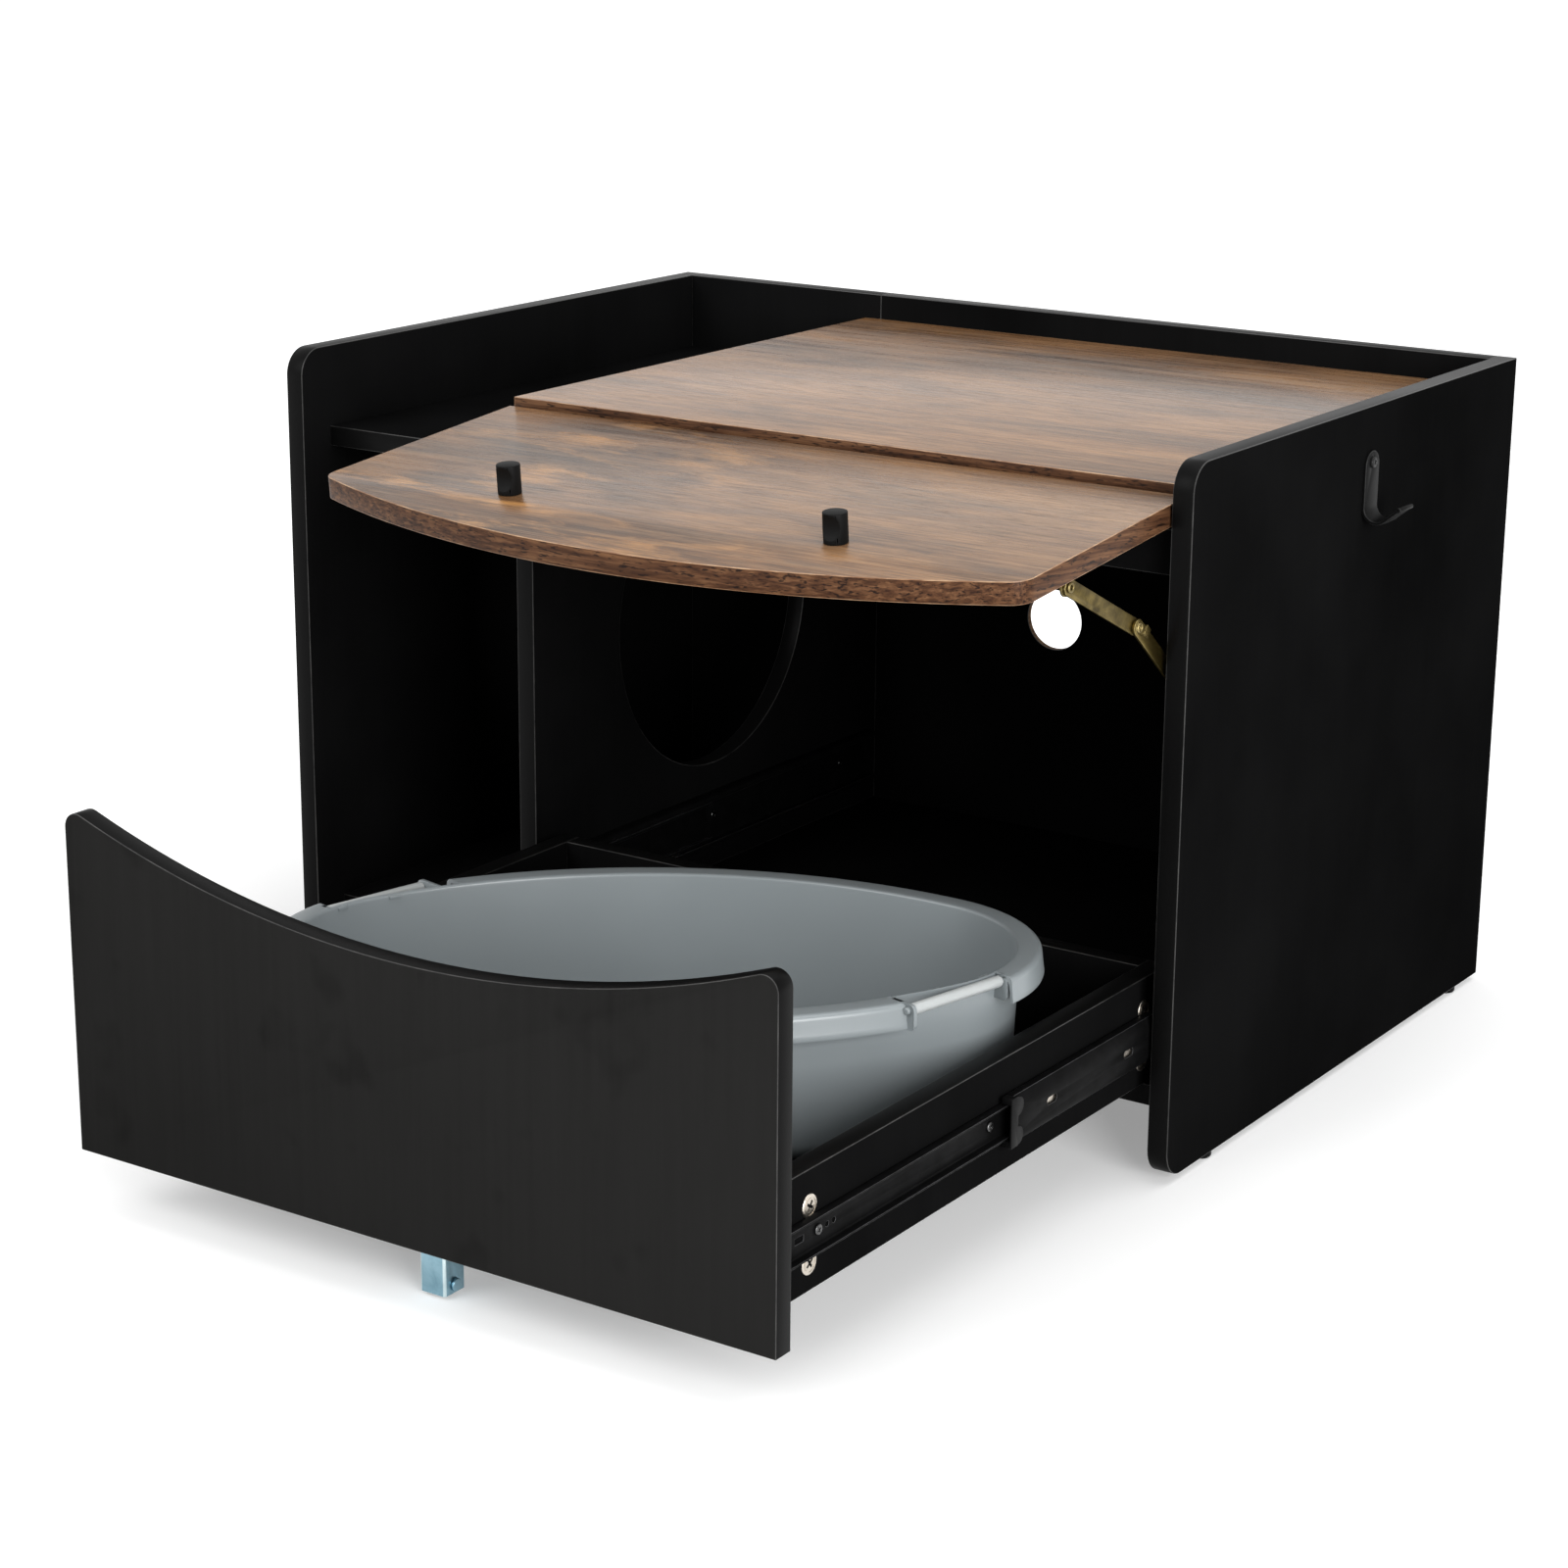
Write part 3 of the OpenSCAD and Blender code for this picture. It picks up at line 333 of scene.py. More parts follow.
def lineFinish():
    # the foil's arris: its colour paler than the faces as a painted highlight along the edge,
    # patchy like wear
    f = Finish("boardArris")
    wearAndHighlight = f.noise(f.stretch((40, 40, 40)), 1.0, 4.0, 0.7)
    base = f.mix(f.band(wearAndHighlight, 0.35, 0.7), (0.012, 0.012, 0.012), (0.046, 0.045, 0.043))
    return f.surface(base, f.band(wearAndHighlight, 0.3, 0.7, 0.26, 0.42), Specular_IOR_Level=0.3)


def woodFinish(name, turn, move, grey, tan, shine, sheenLift=1.0):
    # rustic foil: fine grain along X, grey-brown clouds, orange patches and dark pores, with
    # painted shade towards the right and a painted sheen that pales it
    f = Finish(name)
    sideways = f.add("ShaderNodeSeparateXYZ", {}, {"Vector": f.place}, 0)
    # painted shade: towards +x the wood turns greyer, darker and less orange
    paintedShadeRight = f.band(sideways, -0.12, 0.30)
    flat = f.stretch((1, 1, 1), turn, move)
    cloud = f.noise(f.stretch((3.0, 9.0, 9.0), place=flat), 1.0, 5.0, 0.62, 0.5)
    patch = f.noise(f.stretch((8.0, 26.0, 26.0), place=flat), 1.0, 5.0, 0.66, 0.9)
    streak = f.noise(f.stretch((7.0, 210.0, 210.0), place=flat), 1.0, 4.0, 0.65, 0.12)
    fine = f.noise(f.stretch((26.0, 950.0, 950.0), place=flat), 1.0, 3.0, 0.6)
    pores = f.noise(f.stretch((50.0, 1500.0, 1500.0), place=flat), 1.0, 2.0, 0.5)
    pores, furrows = f.band(pores, 0.60, 0.72), f.band(fine, 0.56, 0.34)
    base = f.ramp(cloud * 0.85 + streak * 0.15,
                  (0.34, (0.036, 0.017, 0.008)), (0.43, (0.110, 0.050, 0.019)),
                  (0.51, (0.210, 0.098, 0.037)), (0.60, (0.310, 0.152, 0.058)),
                  (0.70, (0.420, 0.222, 0.092)))
    orange = f.band(patch, 0.50, 0.66) * tan * (1 - paintedShadeRight * 0.7)
    greyPatchesAndShade = paintedShadeRight * grey * 0.7 + f.band(patch, 0.46, 0.30) * grey
    base = f.mix(orange, base, (0.560, 0.270, 0.085))
    base = f.mix(greyPatchesAndShade, base, (0.105, 0.078, 0.058))
    base = f.mix(f.band(streak, 0.42, 0.66) * 0.25, base, (0.38, 0.25, 0.150))
    base = f.mix(furrows * 0.60, base, (0.045, 0.025, 0.015))
    base = f.mix(pores * 0.70, base, (0.020, 0.012, 0.008))
    roughness = f.band(streak, 0.3, 0.7, 0.22, 0.32) + pores * 0.15 + furrows * 0.06
    normal = f.bump(fine * 0.6 + pores * -0.5, 0.4, 0.0002)
    # the lift pales the whole foil as a painted sheen
    return f.surface(f.scaled(base, sheenLift), roughness, normal, Specular_IOR_Level=shine)


def woodBandFinish(name, turn, along):
    # edge band: red-brown, with short dark streaks that run along the edge
    f = Finish(name)
    flat = f.stretch((1, 1, 1), turn)

    def streaks(lengthwise, across, detail, warp):
        size = (lengthwise, across, across) if along == "X" else (across, lengthwise, across)
        return f.noise(f.stretch(size, place=flat), 1.0, detail, 0.6, warp)

    long, dark = streaks(14.0, 420.0, 4.0, 0.3), streaks(110.0, 672.0, 3.0, 0.2)
    base = f.ramp(long, (0.30, (0.022, 0.009, 0.005)), (0.48, (0.070, 0.030, 0.014)),
                  (0.68, (0.150, 0.072, 0.034)))
    base = f.mix(f.band(dark, 0.56, 0.62) * 0.92, base, (0.008, 0.004, 0.003))
    return f.surface(base, 0.46, f.bump(long, 0.3, 0.0002), Specular_IOR_Level=0.10)


def rawFinish():
    # raw chipboard inside a drilled hole
    f = Finish("rawBoard")
    chips = f.noise(f.place, 420.0, 4.0, 0.7)
    base = f.ramp(chips, (0.35, (0.070, 0.036, 0.018)), (0.50, (0.230, 0.130, 0.068)),
                  (0.68, (0.420, 0.280, 0.165)))
    return f.surface(base, 0.8, f.bump(chips, 0.8, 0.0006), Specular_IOR_Level=0.2)


def woodLineFinish():
    # the wood foil's arris: its colour paler than the band as a painted highlight along the edge,
    # patchy like wear
    f = Finish("woodArris")
    wearAndHighlight = f.noise(f.stretch((60, 60, 60)), 1.0, 4.0, 0.6)
    base = f.mix(f.band(wearAndHighlight, 0.35, 0.65), (0.20, 0.095, 0.045), (0.46, 0.29, 0.17))
    return f.surface(base, 0.38, Specular_IOR_Level=0.4)


def plasticFinish(name, colour, rough, shine):
    # moulded plastic or paint: a soft unevenness and small pale scuffs
    f = Finish(name)
    cloud = f.noise(f.place, 9.0, 3.0)
    grain = f.noise(f.place, 90.0, 2.0)
    scuffs = f.band(f.noise(f.stretch((260, 70, 190)), 1.0, 6.0, 0.75), 0.62, 0.80)
    tint = f.scaled(colour, f.band(cloud, 0.3, 0.7, 0.97, 1.03))
    base = f.mix(scuffs * 0.02, tint, paler(colour, 1.25, 0.02))
    roughness = f.band(cloud, 0.3, 0.7, rough - 0.02, rough + 0.03) + scuffs * 0.04
    return f.surface(base, roughness, f.bump(grain, 0.08, 0.0001), Specular_IOR_Level=shine)


def metalFinish(name, colour, rough, metallic=1.0, mottle=None, grainSize=(40, 400, 400),
                shine=0.5):
    # brushed or plated metal, with clouded plating and scratches
    f = Finish(name)
    cloud = f.noise(f.place, 60.0, 4.0, 0.65, 0.4)
    brush = f.noise(f.stretch(grainSize), 1.0, 3.0, 0.6)
    scratch = f.band(f.noise(f.stretch((300, 60, 220)), 1.0, 5.0, 0.7), 0.66, 0.74)
    base = f.mix(f.band(cloud, 0.35, 0.68), colour, mottle or [part * 0.72 for part in colour])
    base = f.mix(scratch * 0.35, base, paler(colour, 1.5, 0.03))
    roughness = f.band(cloud, 0.3, 0.7, rough - 0.06, rough + 0.08) + brush * 0.10 - 0.05
    return f.surface(base, roughness, f.bump(brush, 0.18, 0.0001), Metallic=metallic,
                     Specular_IOR_Level=shine)


openAngle = math.radians(-84.8)  # the flap's turn from hanging to level
leaning = (math.pi / 2 + openAngle, 0, 0)
black, steelGrain = (0.0045, 0.0045, 0.0046), (400, 12, 400)
finishes = {
    "board": boardFinish("blackBoard", (0.0048, 0.0048, 0.0049), 0.70, 0.0),
    # the drawer front: the black foil made paler than the board's as painted light from the front;
    # its smudges are marks
    "front": boardFinish("blackFrontPaintedLight", (0.0155, 0.0153, 0.0149), 0.62, 0.0, 0.06, 0.16),
    "bandBlack": boardFinish("blackBand", (0.0035, 0.0035, 0.0035), 0.36, 0.04, 0.15),
    "arris": lineFinish(),
    "raw": rawFinish(),
    # the top's lift of 1.15, above the flap's, is painted sheen on the same foil
    "woodTop": woodFinish("rusticTop", (0, 0, 0), (0.35, 0.2, 0), 0.30, 0.25, 0.85, 1.15),
    "woodFlap": woodFinish("rusticFlap", leaning, (1.9, 0.7, 0), 0.45, 0.90, 0.50, 1.05),
    "woodBand": woodBandFinish("rusticBand", leaning, "X"),
    "woodEndBand": woodBandFinish("rusticEndBand", leaning, "Y"),
    "woodTopBand": woodBandFinish("rusticTopBand", (0, 0, 0), "X"),
    "woodArris": woodLineFinish(),
    "pan": plasticFinish("greyPan", (0.215, 0.240, 0.250), 0.30, 0.5),
    "latch": plasticFinish("paleLatch", (0.40, 0.42, 0.42), 0.30, 0.5),
    "black": plasticFinish("blackPlastic", black, 0.34, 0.06),
    "slide": metalFinish("blackSteel", (0.0045, 0.0045, 0.0047), 0.40, 0.0,
                         (0.0025, 0.0025, 0.0025), steelGrain, 0.03),
    # the slides' eased edges: paler steel standing for the gleam on the bends, a painted highlight
    "slideEdge": metalFinish("steelEdgeHighlight", (0.055, 0.055, 0.058), 0.36, 0.3,
                             (0.02, 0.02, 0.02), steelGrain, 0.3),
    "screwSteel": metalFinish("screwSteel", (0.13, 0.13, 0.13), 0.30, 1.0, (0.05, 0.05, 0.05)),
    "nickel": metalFinish("nickelPlate", (0.66, 0.60, 0.52), 0.30),
    "zinc": metalFinish("bluePlate", (0.30, 0.47, 0.55), 0.32, 1.0, (0.19, 0.33, 0.40),
                        (400, 400, 30)),
    "brass": metalFinish("oldBrass", (0.190, 0.140, 0.042), 0.42, 1.0, (0.055, 0.040, 0.012)),
    "rivet": metalFinish("paleRivet", (0.300, 0.240, 0.105), 0.36, 1.0, (0.12, 0.09, 0.035)),
    "paint": plasticFinish("blackPaint", (0.0042, 0.0042, 0.0043), 0.42, 0.04),
    # paler paint on the hook's eased edges and the whole hook screw, a painted highlight
    "paintEdge": plasticFinish("paintEdgeHighlight", (0.012, 0.012, 0.012), 0.36, 0.15),
    "knob": plasticFinish("knobPaint", (0.0060, 0.0060, 0.0060), 0.50, 0.06),
    # pale zinc on the leg's rounded corners, eased edges and plate screws, a painted highlight
    "zincEdgeHighlight": metalFinish("zincEdgeHighlight", (0.72, 0.86, 0.88), 0.30, 1.0, (0.55, 0.68, 0.71)),
    "hinge": metalFinish("hingeSteel", (0.20, 0.20, 0.19), 0.42),
}
print("finishes made")


def wear(piece, *names):
    piece.data.materials.clear()
    for name in names:
        piece.data.materials.append(finishes[name])


def paintFaces(piece, test, index):
    for face in piece.data.polygons:
        if test(face):
            face.material_index = index


view = {"place": (1.3532, -1.9646, 0.9079), "yaw": 33.961, "pitch": 16.306, "roll": 0.44,
        "lens": 79.97, "sensor": 36, "far": 60}
yaw, pitch, roll = (math.radians(view[k]) for k in ("yaw", "pitch", "roll"))
ahead = Vector((-math.sin(yaw) * math.cos(pitch), math.cos(yaw) * math.cos(pitch),
                -math.sin(pitch)))
across = Vector((math.cos(yaw), math.sin(yaw), 0))
upward = across.cross(ahead)
acrossRolled = across * math.cos(roll) + upward * math.sin(roll)
upwardRolled = upward * math.cos(roll) - across * math.sin(roll)
letGo()
bpy.ops.object.camera_add()
camera = bpy.context.object
camera.matrix_world = (Matrix.Translation(view["place"])
                       @ Matrix((acrossRolled, upwardRolled, -ahead)).transposed().to_4x4())
camera.data.lens, camera.data.sensor_width = view["lens"], view["sensor"]
camera.data.clip_end = view["far"]
bpy.context.scene.camera = camera

studio = {
    "floorSize": 60, "floorGrey": (0.8, 0.8, 0.8, 1), "white": (1, 1, 1, 1),
    "nearGlow": 0.30, "farGlow": 0.80, "glowFrom": 0.45, "glowTo": 1.4, "worldLevel": 0.42,
    "aim": (0, 0, 0.25),
    "lamps": [  # place, size, watts
        ((-1.6, -3.4, 2.6), 2.6, 88),
        ((0.6, 0.2, 3.6), 3.2, 60),
        ((3.2, -1.9, 1.1), 2.0, 130),
    ],
}
letGo()
bpy.ops.mesh.primitive_plane_add(size=studio["floorSize"], location=(0, 0, 0))
floor = bpy.context.object
floor.name = "floor"
floor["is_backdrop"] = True
f = Finish("studioFloor")
away = f.add("ShaderNodeVectorMath", {"operation": "LENGTH"}, {0: f.stretch((1, 1, 0))}, 1)
level = f.band(away, studio["glowFrom"], studio["glowTo"], studio["nearGlow"], studio["farGlow"])
glow = f.add("ShaderNodeEmission", {}, {
    "Color": studio["white"], "Strength": f.directRays() * level})
matt = f.add("ShaderNodeBsdfDiffuse", {}, {"Color": studio["floorGrey"]})
f.out(f.add("ShaderNodeAddShader", {}, {0: glow, 1: matt}))
floor.data.materials.append(f.owner)

world = bpy.data.worlds.new("studio")
bpy.context.scene.world = world
f = Finish("studioSky", world)
level = f.directRays() * (1 - studio["worldLevel"]) + studio["worldLevel"]
f.out(f.add("ShaderNodeBackground", {}, {"Color": studio["white"], "Strength": level}),
      "ShaderNodeOutputWorld")

for place, size, watts in studio["lamps"]:
    letGo()
    bpy.ops.object.light_add(type="AREA", location=place)
    lamp = bpy.context.object
    lamp.data.size, lamp.data.energy = size, watts
    way = Vector(studio["aim"]) - Vector(place)
    lamp.rotation_euler = way.to_track_quat("-Z", "Y").to_euler()
bpy.context.scene.view_settings.view_transform = "Standard"
print("studio set")

boards = {
    "thin": {  # node: the axis of its thickness
        "left_side_panel": 0, "right_side_panel": 0, "partition": 0, "top_panel": 2,
        "left_shelf": 2, "floor_panel": 2, "left_back_panel": 1, "right_back_panel": 1,
        "front_rail": 1, "drawer_side_left": 0, "drawer_side_right": 0, "drawer_back": 1,
        "drawer_bottom": 2},
    "arris": 0.55 * mm, "arrisAngle": 60, "panelCorner": 20 * mm, "cornerSteps": 12,
    "cutter": 40 * mm,
    "entrance": {"y": 222.975 * mm, "z": 270 * mm, "radius": 126 * mm, "sides": 128},
    "vent": {"x": -14.178 * mm, "z": 238 * mm, "radius": 25 * mm, "land": 5 * mm,
             "past": 1 * mm, "rim": 12 * mm, "sides": 96},
}
bandSlot, arrisSlot, otherSlot = 1, 2, 3  # the finishes of a board after its two faces'


def boardEdges(piece, arris):
    softenEdges(piece, arris, 2, arrisSlot, boards["arrisAngle"])
    smooth(piece)


def boardFaces(piece, thin):
    paintFaces(piece, lambda face: abs(face.normal[thin]) < 0.7, bandSlot)


def drillEntrance(piece, low, high):
    hole = boards["entrance"]
    middle = ((low.x + high.x) / 2, hole["y"], hole["z"])
    carve(piece, addRound("hole", middle, hole["radius"], boards["cutter"], "X", hole["sides"]))


def drillVent(piece, low, high):
    # a short straight land at the front, then a wide bevel to the rear
    vent = boards["vent"]
    middle = (vent["x"], (low.y + high.y) / 2, vent["z"])
    carve(piece, addRound("vent", middle, vent["radius"], boards["cutter"], "Y", vent["sides"]))
    depth = high.y - low.y - vent["land"] + vent["past"]
    letGo()
    bpy.ops.mesh.primitive_cone_add(
        vertices=vent["sides"], radius1=vent["radius"] + depth, radius2=vent["radius"],
        depth=depth, location=(vent["x"], high.y + vent["past"] - depth / 2, vent["z"]),
        rotation=(math.pi / 2, 0, 0))
    cone = bpy.context.object
    settle(cone)
    carve(piece, cone)


def inVent(face):
    vent = boards["vent"]
    away = math.hypot(face.center.x - vent["x"], face.center.z - vent["z"])
    return abs(face.normal.y) < 0.95 and away < vent["radius"] + vent["rim"]


def makeBoard(node, body):
    low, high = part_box(node)
    thin, isTop = boards["thin"][node], node == "top_panel"
    piece = addBlock(node + "Board", low, high)
    if node.endswith("side_panel"):
        roundCorners(piece, lambda e: edgeAlong(e, 0) and edgeMiddle(e).y < (low.y + high.y) / 2,
                     boards["panelCorner"], boards["cornerSteps"])
    if node == "partition":
        drillEntrance(piece, low, high)
    if node == "right_back_panel":
        drillVent(piece, low, high)
    wear(piece, *(("woodTop", "woodTopBand", "woodArris") if isTop
                  else ("board", "bandBlack", "arris")), "raw")
    boardFaces(piece, thin)
    if node == "right_back_panel":
        paintFaces(piece, inVent, otherSlot)
    boardEdges(piece, boards["arris"])
    done(piece, body, "brown_board" if isTop else "black_board", node)


for node in boards["thin"]:
    makeBoard(node, "drawer" if node.startswith("drawer") else "cabinet")
print("boards made")

# the drawer front: a board with a dip, rounded corners and a soft shoulder beside each
front = {"height": 182.6 * mm, "dip": 51 * mm, "dipSides": 360, "cutter": 60 * mm,
         "corner": 10 * mm, "cornerSteps": 8, "shoulder": 1.7 * mm, "shoulderSteps": 3,
         "shoulderFrom": 11 * mm, "shoulderTo": 14 * mm, "near": 1 * mm, "arris": 0.5 * mm}
low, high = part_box("drawer_front")
half = (high.x - low.x) / 2
big = (half ** 2 + front["dip"] ** 2) / (2 * front["dip"])
piece = addBlock("drawerFront", low, high)
dipMiddle = ((low.x + high.x) / 2, (low.y + high.y) / 2, low.z + front["height"] + big)
carve(piece, addRound("dip", dipMiddle, big, front["cutter"], "Y", front["dipSides"]))


def fromTop(edge):
    return high.z - edgeMiddle(edge).z if edgeAlong(edge, 1) else math.inf


def fromSide(edge):
    return min(edgeMiddle(edge).x - low.x, high.x - edgeMiddle(edge).x)


roundCorners(piece, lambda e: fromTop(e) < front["near"] and fromSide(e) < front["near"],
             front["corner"], front["cornerSteps"])
roundCorners(piece, lambda e: fromTop(e) < front["near"] / 2
             and front["shoulderFrom"] < fromSide(e) < front["shoulderTo"],
             front["shoulder"], front["shoulderSteps"])
wear(piece, "front", "bandBlack", "arris")
boardFaces(piece, 1)
boardEdges(piece, front["arris"])
done(piece, "drawer", "black_board", "drawer_front")

# the flap, outlined as it hangs from its hinge line, then turned level
flap = {"middle": 263 * mm, "end": 203 * mm, "corner": 16 * mm, "cornerSteps": 10,
        "curveSteps": 32, "rear": 8.4 * mm, "offset": 2.8 * mm, "thick": 15 * mm,
        "hinge": Vector((0, -21.525, 445)) * mm, "arris": 0.5 * mm}
low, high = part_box("flap")
left, right = low.x, high.x
half = (right - left) / 2
bulge = flap["middle"] - flap["end"]
big = (half ** 2 + bulge ** 2) / (2 * bulge)
openFlap = Matrix.Translation(flap["hinge"]) @ Matrix.Rotation(openAngle, 4, "X")
r, steps = flap["corner"], flap["cornerSteps"]
bigHigh = big - flap["middle"]
cornerHigh = bigHigh - math.sqrt((big - r) ** 2 - (half - r) ** 2)
meet = math.atan2(half - r, bigHigh - cornerHigh)  # where corner and curve meet, from below
cornerTurns = [math.pi / 2 + (meet - math.pi / 2) * i / steps for i in range(steps + 1)]
curveTurns = [meet * (1 - i / flap["curveSteps"]) for i in range(1, 2 * flap["curveSteps"])]
corner = [(half - r + r * math.sin(t), cornerHigh - r * math.cos(t)) for t in cornerTurns]
outline = [(-half, 0), (half, 0)] + corner
outline += [(big * math.sin(t), bigHigh - big * math.cos(t)) for t in curveTurns]
outline += [(-x, z) for x, z in reversed(corner)]
letGo()
bpy.ops.mesh.primitive_circle_add(vertices=len(outline), radius=0.2, fill_type="NGON")
piece = bpy.context.object
piece.name = "flapBoard"
for vertex, (x, z) in zip(piece.data.vertices, outline):
    vertex.co = ((left + right) / 2 + x, -flap["offset"], flap["rear"] + z)
pick(piece, "FACE", lambda face: True)
bpy.ops.mesh.extrude_region_move(TRANSFORM_OT_translate={"value": (0, -flap["thick"], 0)})
letGo()
facesOut(piece)
wear(piece, "woodFlap", "woodBand", "woodArris", "woodEndBand")
boardFaces(piece, 1)
paintFaces(piece, lambda face: abs(face.normal.x) > 0.9, otherSlot)
softenEdges(piece, flap["arris"], 2, arrisSlot, boards["arrisAngle"])
moveTo(piece, openFlap)
smooth(piece)
done(piece, "flap", "brown_board", "flap")
print("front and flap made")


# the pan: an oval of four arcs, its section carried round it
pan = {"middle": Vector((92.322, -241.225, 74.3)) * mm, "turn": 33.3, "length": 252.386 * mm,
       "width": 157.1 * mm, "end": 113 * mm, "height": 104.4 * mm, "count": 240,
       "skirt": 17 * mm, "coreDown": 40 * mm, "coreUp": 20 * mm}
latch = {  # a straight bar between two ears at each side, measured from the pan's middle
    "turn": -45.9, "far": 197.3 * mm, "from": 36.2 * mm, "to": 116.6 * mm, "rearGap": 16 * mm,
    "radius": 3.8 * mm, "play": 0.6 * mm, "neck": 1.6 * mm, "barEnd": 1.1 * mm,
    "barSoft": 0.5 * mm,
    "gapIn": 140 * mm, "gapOut": 260 * mm, "gapDeep": 18.5 * mm, "gapPast": 4 * mm,
    "ear": 3 * mm, "earPast": 5.8 * mm, "earDeep": 45 * mm, "earCorner": 4 * mm,
    "earRim": 1.2 * mm, "earSunk": 0.7 * mm, "soft": 0.3 * mm,
    "boss": 2.5 * mm, "bossHeight": 1.6 * mm, "bossIn": 1.0 * mm, "bossDome": 1.3 * mm,
    "wallFace": 16.2 * mm, "wallMiddle": 17.2 * mm,
    "tabs": (68 * mm, 108 * mm), "tabWidth": 8 * mm, "tabOut": 230 * mm, "tabLow": 3 * mm,
    "tabHigh": 1 * mm, "tabInset": 20.2 * mm,
}


def ovalRing(inset, z):
    a, b, end, count = pan["length"], pan["width"], pan["end"], pan["count"]
    side = (a * a + b * b - 2 * a * end) / (2 * (b - end))
    endAt, sideAt = a - end, side - b
    meet = math.atan2(sideAt, endAt)
    points = []
    for i in range(count):
        angle = 2 * math.pi * i / count
        u, v = math.cos(angle), math.sin(angle)
        # the normal's angle is the parameter: end arcs near the long axis, side arcs elsewhere
        if math.atan2(abs(v), abs(u)) < meet:
            x, y = math.copysign(endAt, u) + u * (end - inset), v * (end - inset)
        else:
            x, y = u * (side - inset), v * (side - inset) - math.copysign(sideAt, v)
        points.append(Vector((x, y, z)))
    return points


def arcRows(middle, radius, fromAngle, toAngle, steps):
    rows = []
    for i in range(steps + 1):
        angle = math.radians(fromAngle + (toAngle - fromAngle) * i / steps)
        rows.append((middle[0] + radius * math.cos(angle), middle[1] + radius * math.sin(angle)))
    return rows


def panProfile():
    # inset from the rim's edge and height, from the inner floor over the rim to the outer floor
    rows = [(70, 2.0), (50, 2.2)] + arcRows((32, 12), 9.6, 270, 180, 7)
    rows += [(21.5, 32), (20.6, 54), (19.7, 76), (18.9, 94), (18.5, 100.5)]
    rows += arcRows((16.4, 102.3), 2.0, 0, 90, 5) + [(13.5, 104.4), (9.5, 104.4)]
    rows += arcRows((5.6, 100.4), 4.0, 90, 180, 7)
    rows += [(1.2, 96.5), (0.6, 91.5), (0.1, 88.4), (0.4, 87.5), (1.6, 87.5), (2.4, 88.4)]
    rows += [(3.2, 95), (4.2, 99.4), (6.0, 101.6), (9.5, 102), (13, 102), (15.2, 101.2)]
    rows += [(16.1, 98), (16.8, 84), (17.6, 66), (18.4, 48), (19.2, 30)]
    rows += arcRows((32, 12), 12, 180, 270, 7) + [(50, 0.1), (70, 0)]
    return [(inset * mm, z * mm) for inset, z in rows]


def ovalPiece(name, rows):
    letGo()
    bpy.ops.mesh.primitive_circle_add(vertices=pan["count"], radius=0.2, fill_type="NOTHING")
    piece = bpy.context.object
    piece.name = name
    bpy.ops.object.mode_set(mode="EDIT")
    for number, (inset, z) in enumerate(rows):
        bpy.ops.mesh.select_mode(type="VERT")
        if number == 0:
            bpy.ops.mesh.select_all(action="SELECT")
        else:
            bpy.ops.mesh.extrude_edges_move()
        shape = bmesh.from_edit_mesh(piece.data)
        shape.verts.ensure_lookup_table()
        for vertex, point in zip(shape.verts[-pan["count"]:], ovalRing(inset, z)):
            vertex.co = point
        bmesh.update_edit_mesh(piece.data)
    letGo()
    for z in (rows[0][1], rows[-1][1]):
        pick(piece, "EDGE", lambda e: e.is_boundary and abs(edgeMiddle(e).z - z) < 0.01 * mm)
        bpy.ops.mesh.fill()
        letGo()
    facesOut(piece)
    return piece


def atLatch(side):
    # x runs outwards, y along the bar
    return Matrix.Rotation(side + math.radians(latch["turn"]), 4, "Z")


def core(inset):
    # the inside of the bowl at the rim, as a cutter
    return ovalPiece("core", [(inset, top - pan["coreDown"]), (inset, top + pan["coreUp"])])


bothSides = (0, math.pi)
panTurn = Matrix.Translation(pan["middle"]) @ Matrix.Rotation(math.radians(pan["turn"]), 4, "Z")
top = pan["height"]
barHigh = top - latch["radius"] - latch["play"]
bowl = ovalPiece("litterPan", panProfile())
for side in bothSides:
    start = latch["from"] - (latch["rearGap"] if side else 0)
    cutter = addBlock("latchGap", (latch["gapIn"], start, top - latch["gapDeep"]),
                      (latch["gapOut"], latch["to"], top + latch["gapPast"]))
    moveTo(cutter, atLatch(side))
    carve(cutter, core(latch["wallFace"]))
    carve(bowl, cutter)

# an ear: a plate with round outer corners, its face sunk, with a domed boss
outer, earFace = latch["far"] + latch["earPast"], -latch["ear"]
ear = addBlock("ear", (outer - latch["earDeep"], earFace, top - pan["skirt"]), (outer, 0, top))
roundCorners(ear, lambda e: edgeAlong(e, 1) and edgeMiddle(e).x > outer - 1 * mm,
             latch["earCorner"], 8)
pick(ear, "FACE", lambda face: face.normal.y < -0.9)
bpy.ops.mesh.inset(thickness=latch["earRim"], depth=-latch["earSunk"])
letGo()
softenEdges(ear, latch["soft"], 2)
bossTop = earFace - latch["bossHeight"]
boss = addRound("boss", (latch["far"], (bossTop + earFace + latch["bossIn"]) / 2, barHigh),
                latch["boss"], latch["bossHeight"] + latch["bossIn"], "Y", 40)
roundCorners(boss, lambda e: edgeMiddle(e).y < bossTop + 0.2 * mm, latch["bossDome"], 5)
nearEar = Matrix.Translation((0, latch["from"], 0))
farEar = Matrix.Translation((0, latch["to"], 0)) @ Matrix.Scale(-1, 4, (0, 1, 0))
parts = []
